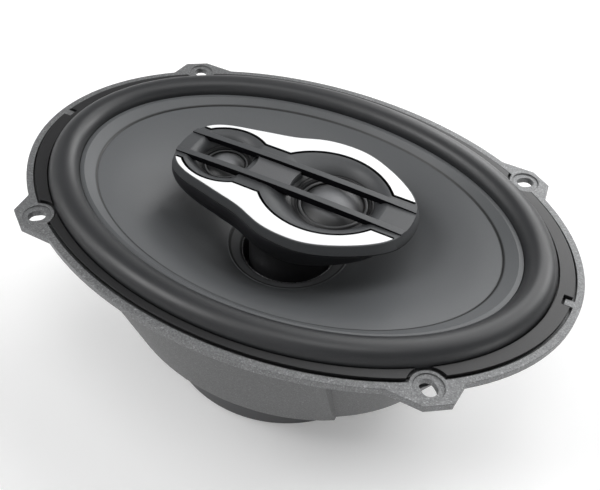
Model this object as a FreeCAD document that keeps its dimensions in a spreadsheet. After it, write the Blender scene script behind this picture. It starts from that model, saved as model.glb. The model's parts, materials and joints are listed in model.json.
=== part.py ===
"""Coaxial car loudspeaker of the oval 6 x 9 inch class, in millimetres.

Origin: centre of the bolt pattern, on the rear (mounting) face of the flange.
+Z points out of the front, +X runs along the long axis towards the large dome.
"""
import FreeCAD, Part
import math
import os

import Sketcher
from FreeCAD import Placement, Rotation, Vector

doc = FreeCAD.newDocument("coaxial_speaker")
sheet = doc.addObject("Spreadsheet::Sheet", "sizes")

DIMENSIONS = {
    # flange and its fixings
    "flange_half_length": 117.0,
    "flange_half_width": 81.3,
    "flange_thickness": 3.0,
    "lip_width": 2.7,
    "shelf_height": 1.5,
    "opening_half_length": 106.6,
    "opening_half_width": 73.8,
    "hole_offset_x": 80.6,
    "hole_offset_y": 58.3,
    "slot_width": 5.5,
    "slot_length": 7.0,
    "slot_angle": 40.0,
    "hole_boss_radius": 6.6,
    "hole_recess_radius": 5.4,
    "hole_recess_depth": 0.5,
    "ear_inner_x": 68.0,
    "ear_inner_y": 66.0,
    "ear_top_x": 82.0,
    "ear_tip_x": 90.0,
    "ear_tip_y": 60.5,
    "ear_outer_x": 91.0,
    "ear_outer_y": 51.0,
    "key_width": 3.0,
    "key_reach": 111.0,
    # basket wall, landing, floor and skirt
    "wall_half_length": 110.5,
    "wall_half_width": 77.0,
    "wall_thickness": 2.2,
    "skirt_half_length": 78.9,
    "skirt_half_width": 63.5,
    "skirt_depth": 55.0,
    "recess_start": 48.0,
    "recess_depth": 4.0,
    "foot_recess": 1.6,
    "window_inner_y": 9.0,
    "window_outer_y": 44.0,
    "window_top": 7.0,
    "window_bottom": 29.0,
    "ledge_depth": 34.0,
    "ledge_thickness": 2.5,
    "landing_inner": 50.0,
    "landing_outer": 57.0,
    "landing_height": 3.0,
    "cup_inner": 47.0,
    "cup_outer": 49.5,
    "floor_depth": 50.5,
    "floor_thickness": 2.5,
    "floor_hole": 23.0,
    # trim ring and surround
    "trim_gap": 1.0,
    "trim_inner_half_length": 107.6,
    "trim_inner_half_width": 74.85,
    "trim_bottom": 2.35,
    "trim_top": 3.8,
    "trim_notch": 7.6,
    "key_notch": 5.0,
    "roll_half_length": 100.9,
    "roll_half_width": 68.15,
    "roll_half_span": 6.2,
    "roll_height": 8.5,
    "roll_foot": 2.6,
    "roll_skin": 0.8,
    "roll_glue_skin": 0.7,
    "roll_flange": 2.7,
    "roll_glue_width": 1.8,
    "glue_gap": 0.06,
    # cone and voice coil
    "cone_half_length": 94.45,
    "cone_half_width": 61.7,
    "cone_lip": 1.8,
    "cone_edge_height": 3.1,
    "step_half_length": 87.2,
    "step_half_width": 57.3,
    "step_height": 0.85,
    "step_drop": 0.35,
    "neck_radius": 26.6,
    "neck_hole": 26.1,
    "neck_depth": 22.8,
    "cone_thickness": 0.9,
    "cone_curve": 0.6,
    "collar_inner": 21.4,
    "former_inner": 20.2,
    "former_outer": 20.45,
    "former_top": 26.0,
    "former_bottom": 62.0,
    "winding_outer": 21.2,
    "winding_length": 12.0,
    "spider_outer": 56.0,
    "spider_skin": 0.5,
    "spider_wave": 1.6,
    "spider_flat": 3.5,
    # motor
    "plate_radius": 50.0,
    "plate_bore": 21.7,
    "plate_thickness": 5.0,
    "magnet_radius": 52.0,
    "magnet_bore": 25.0,
    "magnet_thickness": 15.0,
    "yoke_radius": 46.0,
    "yoke_thickness": 5.0,
    "pole_radius": 19.6,
    "pole_rise": 1.5,
    "pole_bore": 7.05,
    "boot_radius": 55.0,
    "boot_wall": 2.7,
    "boot_floor": 1.5,
    "boot_lap": 2.5,
    "boot_groove_depth": 0.8,
    "boot_groove_width": 0.8,
    "boot_groove_height": 9.5,
    "boot_groove_angle": 58.0,
    "boot_edge": 1.6,
    "screw_circle": 36.0,
    "screw_hole": 2.55,
    "screw_radius": 2.45,
    "screw_head_radius": 4.2,
    "screw_head_height": 2.5,
    "screw_tip": 56.5,
    # post
    "post_radius": 17.5,
    "post_bore": 14.5,
    "post_foot_radius": 19.0,
    "post_foot_height": 3.0,
    "post_base": 7.0,
    "stem_radius": 7.0,
    "stem_bore": 3.2,
    "nut_width": 19.0,
    "nut_height": 2.8,
    "washer_thickness": 0.8,
    "washer_radius": 11.5,
    "nut_recess_radius": 12.5,
    "nut_recess_depth": 5.2,
    "pod_screw_hole": 1.1,
    "pod_screw_radius": 1.0,
    "pod_screw_head_radius": 2.2,
    "pod_screw_head_height": 1.4,
    "pod_screw_tip": 18.0,
    "pod_screw_hole_depth": 20.0,
    # pod
    "pod_parting": 8.3,
    "pod_seam": 0.35,
    "pod_deck": 12.2,
    "pod_raise": 0.6,
    "pod_bottom": 10.0,
    "pod_wall": 1.8,
    "pod_top_length_scale": 0.968,
    "pod_top_width_scale": 0.98,
    "inlay_thickness": 0.8,
    "inlay_gap": 0.6,
    "groove_bottom": 11.4,
    "inlay_edge": 0.45,
    "inlay_clear": 0.05,
    "inlay_end_half": 11.3,
    "inlay_waist_half": 13.9,
    "large_arc_x": 14.1,
    "large_arc_y": 6.6,
    "large_arc_radius": 30.3,
    "small_arc_x": -30.7,
    "small_arc_y": 2.8,
    "small_arc_radius": 20.0,
    "rail_inner_y": 5.5,
    "rail_width": 2.7,
    "rail_half_length": 50.3,
    "rail_bottom": 11.4,
    "rail_end_height": 13.3,
    "rail_crown_height": 14.4,
    "bridge_start": -13.0,
    "bridge_end": 3.0,
    "bridge_lap": 0.7,
    "badge_start": -18.8,
    "badge_end": 1.8,
    "badge_half_width": 5.3,
    "badge_thickness": 1.5,
    "badge_top": 12.9,
    "badge_large_clear": 17.7,
    "badge_small_clear": 13.6,
    "badge_side_clear": 0.1,
    # dome units
    "large_dome_x": 18.0,
    "large_dome_radius": 12.3,
    "large_rim": 3.2,
    "small_dome_x": -30.8,
    "small_dome_radius": 7.9,
    "small_rim": 2.3,
    "dome_plane": 7.2,
    "dome_skin": 0.25,
    "dome_rise_share": 0.34,
    "rim_share": 0.6,
    "dome_roll_share": 0.35,
    "dome_roll_gap": 0.05,
    "dome_seat_depth": 3.0,
    "throat_gap": 0.2,
    "throat_height": 8.2,
    "mouth_edge": 0.35,
    "mouth_bow": 0.9,
    "large_mouth_start": -8.0,
    "large_mouth_end": 38.0,
    "small_mouth_start": -44.2,
    "small_mouth_end": -20.0,
    "ring_flange": 1.7,
    "ring_ledge": 0.2,
    "ring_height": 1.2,
    "dome_plate_thickness": 2.0,
    "dome_magnet_share": 0.29,
    "dome_cup_floor": 2.4,
    # terminals and wires
    "terminal_drop": 24.0,
    "terminal_half_width": 9.8,
    "terminal_half_length": 9.0,
    "terminal_thickness": 3.0,
    "lead_hole_x": 5.5,
    "tab_start": 7.5,
    "tab_offset_y": 5.4,
    "tab_end": 17.0,
    "tab_thickness": 0.8,
    "wide_tab_width": 4.8,
    "narrow_tab_width": 2.8,
    "tab_hole_radius": 0.8,
    "tab_hole_x": 13.5,
    "rivet_radius": 1.3,
    "rivet_x": 2.5,
    "rivet_tail": 0.9,
    "rivet_head_radius": 2.3,
    "rivet_head_height": 0.7,
    "wire_hole_radius": 1.1,
    "ledge_hole_radius": 2.4,
    "wire_hole_x": 62.5,
    "feed_wire_radius": 0.5,
    "feed_wire_spacing": 2.0,
    "feed_wire_clear": 0.3,
    "feed_bend": 1.1,
    "lead_radius": 0.6,
    "lead_bend": 6.0,
    "lead_anchor_x": 44.0,
    "lead_anchor_y": 9.0,
    "capacitor_large_radius": 5.0,
    "capacitor_large_height": 22.0,
    "capacitor_small_radius": 4.0,
    "capacitor_small_height": 15.0,
    "capacitor_offset": 9.0,
    "capacitor_edge": 0.6,
}


class Size:
    """A length that carries its number and the sheet formula that gives it."""

    def __init__(self, number, formula=None):
        self.number = float(number)
        self.formula = formula if formula else repr(float(number))

    def __add__(self, other):
        other = as_size(other)
        return Size(self.number + other.number, f"({self.formula} + {other.formula})")

    def __sub__(self, other):
        other = as_size(other)
        return Size(self.number - other.number, f"({self.formula} - {other.formula})")

    def __mul__(self, other):
        other = as_size(other)
        return Size(self.number * other.number, f"({self.formula} * {other.formula})")

    def __neg__(self):
        return Size(-self.number, f"(0 - {self.formula})")


def as_size(length):
    """A plain number as a Size, or the Size itself."""
    return length if isinstance(length, Size) else Size(length)


class Sizes:
    """Each alias of the sheet as an attribute."""


def fill_sheet():
    """Write every driving dimension into the sheet under its own alias."""
    lengths = Sizes()
    for row, (alias, number) in enumerate(DIMENSIONS.items(), start=1):
        sheet.set(f"A{row}", alias)
        sheet.set(f"B{row}", str(number))
        sheet.setAlias(f"B{row}", alias)
        setattr(lengths, alias, Size(number, f"sizes.{alias}"))
    doc.recompute()
    return lengths


d = fill_sheet()
ZERO = Size(0.0)
# cutting tools reach past the object to these heights and this distance from the axis
ABOVE = Size(20.0)
BELOW = Size(-90.0)
BEYOND = Size(130.0)
parts = []


# ---------------------------------------------------------------- helpers

def keep(label, thing):
    """Name a finished sub-part and list it for export."""
    thing.Label = label
    parts.append(thing)
    return thing


def bind(thing, **lengths):
    """Tie properties of an object to the sheet; a double underscore stands for a dot."""
    for name, length in lengths.items():
        thing.setExpression(name.replace("__", "."), as_size(length).formula)


def origin_plane(body, role):
    """The body's own origin plane with this role."""
    return next(plane for plane in body.Origin.OriginFeatures if plane.Role == role)


def hold_point(sketch, edge, end, place):
    """Tie one end of a sketch edge to the sheet by its distances from the origin."""
    for kind, axis, length in (("DistanceX", -2, place[0]), ("DistanceY", -1, place[1])):
        length = as_size(length)
        if length.number == 0.0:
            sketch.addConstraint(Sketcher.Constraint("PointOnObject", edge, end, axis))
            continue
        rule = sketch.addConstraint(Sketcher.Constraint(kind, -1, 1, edge, end, length.number))
        sketch.setExpression(f"Constraints[{rule}]", length.formula)


def flat(place):
    """A pair of lengths as a vector in the sketch plane."""
    return Vector(as_size(place[0]).number, as_size(place[1]).number, 0)


def draw_outline(sketch, corners):
    """Closed outline through corners (x, y), or (x, y, via_x, via_y) where an arc leaves."""
    count = len(corners)
    ends = []
    for index, corner in enumerate(corners):
        start = flat(corner)
        end = flat(corners[(index + 1) % count])
        if len(corner) == 2:
            sketch.addGeometry(Part.LineSegment(start, end), False)
            ends.append((1, 2))
            continue
        via = flat(corner[2:])
        if (via - start).cross(end - via).z > 0:
            sketch.addGeometry(Part.Arc(start, via, end), False)
            ends.append((1, 2))
        else:
            sketch.addGeometry(Part.Arc(end, via, start), False)
            ends.append((2, 1))
    for index, corner in enumerate(corners):
        after = (index + 1) % count
        sketch.addConstraint(
            Sketcher.Constraint("Coincident", index, ends[index][1], after, ends[after][0]))
        hold_point(sketch, index, ends[index][0], corner)
        if len(corner) == 4:
            marker = sketch.addGeometry(Part.Point(flat(corner[2:])), True)
            sketch.addConstraint(Sketcher.Constraint("PointOnObject", marker, 1, index))
            hold_point(sketch, marker, 1, corner[2:])


def body_sketch(body, name, role, corners):
    """Outline sketch on one of the body's origin planes."""
    sketch = body.newObject("Sketcher::SketchObject", name)
    sketch.AttachmentSupport = (origin_plane(body, role), [""])
    sketch.MapMode = "FlatFace"
    draw_outline(sketch, corners)
    return sketch


def rectangle(inner, outer, bottom, top):
    """Corners of a section from one radius to another, between two heights."""
    return [(inner, bottom), (outer, bottom), (outer, top), (inner, top)]


def spin(name, corners, centre_x=ZERO):
    """Body turned from a section about the vertical line through centre_x."""
    body = doc.addObject("PartDesign::Body", name)
    sketch = body_sketch(body, f"{name}_section", "XZ_Plane", corners)
    turn = body.newObject("PartDesign::Revolution", f"{name}_turn")
    turn.Profile = sketch
    turn.ReferenceAxis = (sketch, ["V_Axis"])
    turn.Angle = 360.0
    bind(body, Placement__Base__x=centre_x)
    return body


def oval(name, half_length, half_width, height):
    """Ellipse about the origin at a height."""
    ring = doc.addObject("Part::Ellipse", name)
    bind(ring, MajorRadius=half_length, MinorRadius=half_width, Placement__Base__z=height)
    return ring


def oval_plate(name, half_length, half_width, bottom, top):
    """Upright oval prism."""
    plate = doc.addObject("Part::Extrusion", name)
    plate.Base = oval(f"{name}_rim", half_length, half_width, bottom)
    plate.Dir = Vector(0, 0, 1)
    plate.Solid = True
    bind(plate, LengthFwd=as_size(top) - bottom)
    return plate


def oval_wire(half_length, half_width, height):
    """Ellipse or circle as four arcs that meet between the axes."""
    centre = Vector(0, 0, as_size(height).number)
    long_radius = as_size(half_length).number
    short_radius = as_size(half_width).number
    if math.isclose(long_radius, short_radius):
        curve = Part.Circle(centre, Vector(0, 0, 1), long_radius)
    else:
        curve = Part.Ellipse(centre, long_radius, short_radius)
    quarter = math.pi / 2
    return Part.Wire([curve.toShape((turn - 0.5) * quarter, (turn + 0.5) * quarter) for turn in range(4)])


def oval_loft(name, stations, ruled):
    """Solid through ovals given as (half length, half width, height)."""
    wires = [oval_wire(*station) for station in stations]
    return set_shape(name, Part.makeLoft(wires, True, ruled))


def outline_prism(name, corners, bottom, top):
    """Upright prism over an outline of corners."""
    sketch = doc.addObject("Sketcher::SketchObject", f"{name}_outline")
    draw_outline(sketch, corners)
    bind(sketch, Placement__Base__z=bottom)
    prism = doc.addObject("Part::Extrusion", name)
    prism.Base = sketch
    prism.Dir = Vector(0, 0, 1)
    prism.Solid = True
    bind(prism, LengthFwd=as_size(top) - bottom)
    return prism


def cylinder(name, radius, bottom, top, x=ZERO, y=ZERO):
    """Upright cylinder."""
    post = doc.addObject("Part::Cylinder", name)
    bind(post, Radius=radius, Height=as_size(top) - bottom, Placement__Base__x=x,
         Placement__Base__y=y, Placement__Base__z=bottom)
    return post


def block(name, low, high):
    """Box between two corners."""
    brick = doc.addObject("Part::Box", name)
    low = [as_size(length) for length in low]
    high = [as_size(length) for length in high]
    bind(brick, Length=high[0] - low[0], Width=high[1] - low[1], Height=high[2] - low[2],
         Placement__Base__x=low[0], Placement__Base__y=low[1], Placement__Base__z=low[2])
    return brick


def fuse(name, pieces):
    """Union of several objects."""
    union = doc.addObject("Part::MultiFuse", name)
    union.Shapes = pieces
    union.Refine = False
    return union


def common(name, first, second):
    """Space that two objects share."""
    shared = doc.addObject("Part::Common", name)
    shared.Base = first
    shared.Tool = second
    return shared


def cut(name, base, tools):
    """Base less every tool."""
    rest = doc.addObject("Part::Cut", name)
    rest.Base = base
    rest.Tool = tools[0] if len(tools) == 1 else fuse(f"{name}_tools", tools)
    return rest


def mirror(name, source, normal):
    """Copy of an object on the other side of a plane through the origin."""
    copy = doc.addObject("Part::Mirroring", name)
    copy.Source = source
    copy.Normal = normal
    return copy


def four_ways(name, source):
    """An object in the first quadrant and its mirror images in the other three."""
    left = mirror(f"{name}_left", source, Vector(1, 0, 0))
    near = mirror(f"{name}_near", source, Vector(0, 1, 0))
    both = mirror(f"{name}_both", left, Vector(0, 1, 0))
    return [source, left, near, both]


def set_shape(name, shape):
    """Feature that holds a shape worked out from the sheet's sizes."""
    feature = doc.addObject("Part::Feature", name)
    feature.Shape = shape
    return feature


# ---------------------------------------------------------------- basket

def slot_cutter():
    """Slanted mounting slot in the first quadrant, long side along the ear's radius."""
    half_width = d.slot_width * 0.5
    half_run = (d.slot_length - d.slot_width) * 0.5
    slot = outline_prism("mounting_slot", [
        (-half_run, -half_width), (half_run, -half_width, half_run + half_width, ZERO),
        (half_run, half_width), (-half_run, half_width, -(half_run + half_width), ZERO),
    ], -1, d.flange_thickness + 1)
    placed = doc.addObject("Part::Compound", "mounting_slot_placed")
    placed.Links = [slot]
    placed.Placement.Rotation = Rotation(Vector(0, 0, 1), d.slot_angle.number)
    bind(placed, Placement__Rotation__Angle=d.slot_angle, Placement__Base__x=d.hole_offset_x,
         Placement__Base__y=d.hole_offset_y)
    return placed


def shelf_cutter():
    """Oval recess for the surround and trim ring, less the hole bosses and the two keys."""
    edge = d.lip_width
    recess = oval_plate("shelf_oval", d.flange_half_length - edge, d.flange_half_width - edge,
                        d.shelf_height, d.flange_thickness + 1)
    boss = cylinder("hole_boss", d.hole_boss_radius, 0, ABOVE, d.hole_offset_x, d.hole_offset_y)
    key = block("trim_key", (d.key_reach, d.key_width * -0.5, ZERO),
                (d.flange_half_length, d.key_width * 0.5, ABOVE))
    keys = [key, mirror("trim_key_left", key, Vector(1, 0, 0))]
    return cut("shelf_recess", recess, four_ways("hole_boss", boss) + keys)


def flange_solid():
    """Oval plate with four ears."""
    plate = oval_plate("flange_plate", d.flange_half_length, d.flange_half_width,
                       ZERO, d.flange_thickness)
    ear = outline_prism("ear", [
        (d.ear_inner_x, d.ear_outer_y), (d.ear_outer_x, d.ear_outer_y), (d.ear_tip_x, d.ear_tip_y),
        (d.ear_top_x, d.ear_inner_y), (d.ear_inner_x, d.ear_inner_y),
    ], ZERO, d.flange_thickness)
    return fuse("flange_solid", [plate] + four_ways("ear", ear))


def wall_loft(name, inset, foot_inset, top, bottom):
    """Straight-sided loft from an oval inside the flange down to the smaller oval of the skirt."""
    rim = (d.wall_half_length - inset, d.wall_half_width - inset, top)
    foot = (d.skirt_half_length - foot_inset, d.skirt_half_width - foot_inset, -bottom)
    return oval_loft(name, [rim, foot], True)


def stepped_wall(name, inset, half_span, top, bottom):
    """Wall loft that steps inwards beyond half_span towards both ends."""
    slab = block(f"{name}_slab", (-half_span, -BEYOND, BELOW), (half_span, BEYOND, ABOVE))
    proud = common(f"{name}_proud", wall_loft(f"{name}_side", inset, inset, top, bottom), slab)
    end = wall_loft(f"{name}_end", inset + d.recess_depth, inset + d.foot_recess, top, bottom)
    return fuse(name, [proud, end])


def wall_shell():
    """Stepped wall as a thin shell, from inside the flange down to the skirt edge."""
    outer = stepped_wall("outer_wall", ZERO, d.recess_start, d.flange_thickness * 0.3, d.skirt_depth)
    inner = stepped_wall("inner_wall", d.wall_thickness, d.recess_start - d.wall_thickness,
                         d.flange_thickness * 0.15, d.skirt_depth + 0.5)
    return cut("wall_shell", outer, [inner])


def ledge_plate():
    """Oval shelf that joins the wall to the round motor cup."""
    half_wall = d.wall_thickness * 0.5
    middle = stepped_wall("ledge_outline", half_wall, d.recess_start - half_wall,
                          d.flange_thickness * 0.2, d.skirt_depth + 0.2)
    top = -d.ledge_depth
    slab = block("ledge_slab", (-BEYOND, -BEYOND, top - d.ledge_thickness), (BEYOND, BEYOND, top))
    plate = common("ledge_slice", middle, slab)
    return cut("ledge_plate", plate, [cylinder("ledge_hole", d.cup_inner, BELOW, 0)])


def motor_cup():
    """Landing ring, cup wall and floor as one turned section."""
    landing = d.landing_height - d.ledge_depth
    overlap = d.ledge_thickness * 0.4
    floor = -d.floor_depth
    return spin("motor_cup", [
        (d.floor_hole, floor - d.floor_thickness), (d.cup_outer, floor - d.floor_thickness),
        (d.cup_outer, -d.ledge_depth - overlap), (d.landing_outer, -d.ledge_depth - overlap),
        (d.landing_outer, landing), (d.landing_inner, landing), (d.landing_inner, -d.ledge_depth),
        (d.cup_inner, -d.ledge_depth), (d.cup_inner, floor), (d.floor_hole, floor),
    ])


def window_cutters():
    """Two vent windows through each end of the wall."""
    window = block("window", (-BEYOND, d.window_inner_y, -d.window_bottom),
                   (BEYOND, d.window_outer_y, -d.window_top))
    return [window, mirror("window_near", window, Vector(0, 1, 0))]


def basket():
    """Cast frame: flange, stepped wall, spider landing, motor floor and skirt."""
    rim = fuse("basket_rim", [flange_solid(), wall_shell()])
    opening = oval_plate("front_opening", d.opening_half_length, d.opening_half_width, -1, 10)
    rim = cut("basket_open_rim", rim, [opening, shelf_cutter()])
    rim = cut("basket_vented_rim", rim, window_cutters())
    frame = fuse("basket_frame", [rim, ledge_plate(), motor_cup()])
    recess = cylinder("hole_recess", d.hole_recess_radius, d.flange_thickness - d.hole_recess_depth, ABOVE,
                      d.hole_offset_x, d.hole_offset_y)
    tools = four_ways("mounting_slot", slot_cutter()) + four_ways("hole_recess", recess)
    tools += four_ways("floor_screw_hole", motor_screw_hole("floor_screw_hole"))
    tools += [rib_slot()] + rivet_holes("basket") + wire_holes()
    keep("basket", cut("basket", frame, tools))


def motor_screw_hole(name):
    """Hole for the motor screw of the first quadrant, through floor and front plate."""
    reach = d.screw_circle * math.sqrt(0.5)
    return cylinder(name, d.screw_hole, -57, -40, reach, reach)


# ---------------------------------------------------------------- trim ring and moving system

def rim_notches(name):
    """Clearance round the hole bosses and the two keys for the pieces that lie on the shelf."""
    notch = cylinder(f"{name}_notch", d.trim_notch, 0, ABOVE, d.hole_offset_x, d.hole_offset_y)
    key = block(f"{name}_key", (d.key_reach - d.trim_gap, d.key_notch * -0.5, ZERO),
                (d.flange_half_length, d.key_notch * 0.5, ABOVE))
    return [key, mirror(f"{name}_key_left", key, Vector(1, 0, 0))] + four_ways(f"{name}_notch", notch)


def trim_ring():
    """Flat ring that covers the surround's outer edge, notched for the bosses and keys."""
    ring = oval_plate("trim_outer", d.flange_half_length - d.lip_width - d.trim_gap,
                      d.flange_half_width - d.lip_width - d.trim_gap, d.trim_bottom, d.trim_top)
    hole = oval_plate("trim_inner", d.trim_inner_half_length, d.trim_inner_half_width, 0, ABOVE)
    keep("trim_ring", cut("trim_ring", ring, [hole] + rim_notches("trim")))


def surround():
    """Half-round rubber roll swept round the oval, with a flange at each foot."""
    span = d.roll_half_span
    inside = span - d.roll_skin
    shelf = d.shelf_height + d.glue_gap
    glue = d.cone_edge_height - d.cone_thickness - d.glue_gap
    sketch = doc.addObject("Sketcher::SketchObject", "surround_section")
    draw_outline(sketch, [
        (-(span + d.roll_glue_width), glue), (-(span + d.roll_glue_width), glue - d.roll_glue_skin),
        (-inside, glue - d.roll_glue_skin),
        (-inside, d.roll_foot, ZERO, d.roll_height - d.roll_skin),
        (inside, d.roll_foot), (inside, shelf), (span + d.roll_flange, shelf),
        (span + d.roll_flange, shelf + d.roll_glue_skin), (span, shelf + d.roll_glue_skin),
        (span, d.roll_foot, ZERO, d.roll_height), (-span, d.roll_foot), (-span, glue),
    ])
    sketch.Placement.Rotation = Rotation(Vector(1, 0, 0), 90)
    bind(sketch, Placement__Base__x=d.roll_half_length)
    sweep = doc.addObject("Part::Sweep", "surround_roll")
    sweep.Sections = [sketch]
    sweep.Spine = (oval("surround_path", d.roll_half_length, d.roll_half_width, ZERO), ["Edge1"])
    sweep.Solid = True
    sweep.Frenet = True
    keep("surround", cut("surround", sweep, rim_notches("surround")))


def cone_curve_station(fraction, drop):
    """Oval of the curved cone body at a fraction of the way from the step to the neck."""
    start_length = d.step_half_length - d.step_drop
    start_width = d.step_half_width - d.step_drop
    start = d.step_height - d.step_drop
    fall = (1 - d.cone_curve.number) * fraction + d.cone_curve.number * fraction ** 2
    return (start_length + (d.neck_radius - start_length) * fraction,
            start_width + (d.neck_radius - start_width) * fraction,
            start - (start + d.neck_depth) * fall - drop)


def cone_space(name, drop, step, rim):
    """Space above the cone's face, or above its back when drop is the cone's thickness."""
    steps = 4
    stations = [cone_curve_station(index / steps, drop) for index in range(steps + 1)]
    top = stations[0]
    shoulder = (d.step_half_length, d.step_half_width, d.step_height - drop)
    pieces = [oval_loft(f"{name}_curve", stations, False), oval_loft(f"{name}_band", [rim, shoulder], True)]
    if step:
        pieces.append(oval_loft(f"{name}_step", [shoulder, top], True))
    else:
        pieces.append(oval_loft(f"{name}_join", [shoulder, top], True))
    return fuse(name, pieces)


def cone():
    """Oval cone: flat lip, sloping band, small step and a curved body down to the neck."""
    run_length = d.cone_half_length - d.cone_lip - d.step_half_length
    run_width = d.cone_half_width - d.cone_lip - d.step_half_width
    rise = d.cone_edge_height - d.step_height
    past = 1.5
    above = (d.step_half_length + run_length * past, d.step_half_width + run_width * past,
             d.step_height + rise * past)
    level = (d.step_half_length + run_length, d.step_half_width + run_width,
             d.cone_edge_height - d.cone_thickness)
    face = cone_space("cone_face", ZERO, True, above)
    back = cone_space("cone_back", d.cone_thickness, False, level)
    lip = oval_plate("cone_lip", d.cone_half_length, d.cone_half_width,
                     d.cone_edge_height - d.cone_thickness, d.cone_edge_height)
    neck = cylinder("cone_neck_hole", d.neck_hole, BELOW, -d.neck_depth * 0.5)
    keep("cone", cut("cone", fuse("cone_outside", [back, lip]), [face, neck]))


def neck_ring():
    """Collar that joins the cone's neck to the coil former."""
    outer = d.neck_hole
    top = -d.neck_depth - 0.2
    bottom = -d.former_top - 2
    keep("neck_ring", spin("neck_ring", [
        (d.former_outer, bottom), (d.former_outer, -d.former_top - 0.4), (d.collar_inner, top - 2.2),
        (outer, top), (outer, top - 1), (d.collar_inner + 1.2, top - 2.8), (d.collar_inner + 0.2, bottom),
    ]))


def coil_former():
    """Thin cylinder that carries the winding."""
    keep("coil_former", spin("coil_former", rectangle(d.former_inner, d.former_outer,
                                                      -d.former_bottom, -d.former_top)))


def coil_winding():
    """Copper winding centred on the front plate."""
    middle = -(d.floor_depth + d.floor_thickness + d.plate_thickness * 0.5)
    keep("coil_winding", spin("coil_winding", rectangle(
        d.former_outer, d.winding_outer, middle - d.winding_length * 0.5, middle + d.winding_length * 0.5)))


def spider():
    """Corrugated suspension disc from the former to the landing ring."""
    waves = 6
    low = d.landing_height - d.ledge_depth
    high = low + d.spider_skin
    start = d.former_outer + d.spider_flat
    step = (d.landing_inner - start) * (1 / waves)
    upper = []
    lower = []
    for index in range(waves):
        side = 1 if index % 2 == 0 else -1
        left = start + step * index
        middle = start + step * (index + 0.5)
        upper.append((left, high, middle, high + d.spider_wave * side))
        lower.append((start + step * (index + 1), low, middle, low + d.spider_wave * side))
    corners = [(d.former_outer, low), (d.former_outer, high)] + upper
    corners += [(d.landing_inner, high), (d.spider_outer, high), (d.spider_outer, low)]
    corners += lower[::-1] + [(start, low)]
    keep("spider", spin("spider", corners))


# ---------------------------------------------------------------- motor

def front_plate():
    """Steel ring under the basket floor, drilled for the motor screws."""
    top = -(d.floor_depth + d.floor_thickness)
    ring = spin("front_plate_ring", rectangle(d.plate_bore, d.plate_radius, top - d.plate_thickness, top))
    keep("front_plate", cut("front_plate", ring,
                            four_ways("plate_screw_hole", motor_screw_hole("plate_screw_hole"))))


def magnet():
    """Ferrite ring."""
    top = -(d.floor_depth + d.floor_thickness + d.plate_thickness)
    keep("magnet", spin("magnet", rectangle(d.magnet_bore, d.magnet_radius, top - d.magnet_thickness, top)))


def motor_bottom():
    """Height of the yoke's rear face."""
    return -(d.floor_depth + d.floor_thickness + d.plate_thickness + d.magnet_thickness + d.yoke_thickness)


def pole_top():
    """Height of the pole's front face."""
    return d.pole_rise - (d.floor_depth + d.floor_thickness)


def pole_yoke():
    """Back plate and centre pole in one piece, bored for the post's stem."""
    bottom = motor_bottom()
    top = bottom + d.yoke_thickness
    recess = bottom + d.nut_recess_depth
    turned = spin("yoke_turned", [
        (d.nut_recess_radius, bottom), (d.yoke_radius, bottom), (d.yoke_radius, top),
        (d.pole_radius, top), (d.pole_radius, pole_top()), (d.pole_bore, pole_top()),
        (d.pole_bore, recess), (d.nut_recess_radius, recess),
    ])
    keep("pole_yoke", cut("pole_yoke", turned, [wire_groove("yoke_groove", bottom)]))


def wire_groove(name, bottom):
    """Radial groove under the yoke that the pod's feed wires lie in."""
    half = d.feed_wire_spacing * 0.5 + d.feed_wire_radius + d.feed_wire_clear
    depth = d.feed_wire_radius * 2 + d.feed_wire_clear + 0.1
    return block(name, (-d.yoke_radius - 1, -half, BELOW), (-d.stem_radius - 1, half, bottom + depth))


def magnet_boot():
    """Rubber cover round the magnet, with four grooves and an inner channel for the wires."""
    floor = motor_bottom()
    bottom = floor - d.boot_floor
    top = -(d.floor_depth + d.floor_thickness + d.plate_thickness) + d.boot_lap
    inside = d.boot_radius - d.boot_wall
    body = spin("boot_turned", [
        (ZERO, bottom), (d.boot_radius - d.boot_edge, bottom), (d.boot_radius, bottom + d.boot_edge),
        (d.boot_radius, top), (inside, top), (inside, floor), (ZERO, floor),
    ])
    line = bottom + d.boot_groove_height
    half = d.boot_groove_width * 0.5
    sketch = body_sketch(body, "boot_groove_section", "XZ_Plane", rectangle(
        d.boot_radius - d.boot_groove_depth, d.boot_radius + 1, line - half, line + half))
    groove = body.newObject("PartDesign::Groove", "boot_groove")
    groove.Profile = sketch
    groove.ReferenceAxis = (sketch, ["V_Axis"])
    groove.Angle = d.boot_groove_angle.number
    groove.Midplane = True
    doc.recompute()
    pattern = body.newObject("PartDesign::PolarPattern", "boot_grooves")
    pattern.Originals = [groove]
    pattern.Axis = (sketch, ["V_Axis"])
    pattern.Angle = 360.0
    pattern.Occurrences = 4
    body.Tip = pattern
    channel_half = d.feed_wire_spacing * 0.5 + d.feed_wire_radius + d.feed_wire_clear
    channel = block("boot_channel", (-(d.boot_radius - 0.6), -channel_half, floor),
                    (-(inside - 1), channel_half, ZERO))
    keep("magnet_boot", cut("magnet_boot", body, [channel]))


def screw_group(label, circle, shank, head, head_height, seat, tip):
    """Four identical pan-head screws on a circle, as one group."""
    reach = circle * math.sqrt(0.5)
    screw = spin(f"{label}_one", [
        (ZERO, tip), (shank, tip), (shank, seat), (head, seat), (head, seat + head_height * 0.6),
        (head - head_height * 0.4, seat + head_height), (ZERO, seat + head_height),
    ], reach)
    bind(screw, Placement__Base__y=reach)
    group = doc.addObject("Part::Compound", label)
    group.Links = four_ways(f"{label}_one", screw)
    keep(label, group)


# ---------------------------------------------------------------- post

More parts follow.
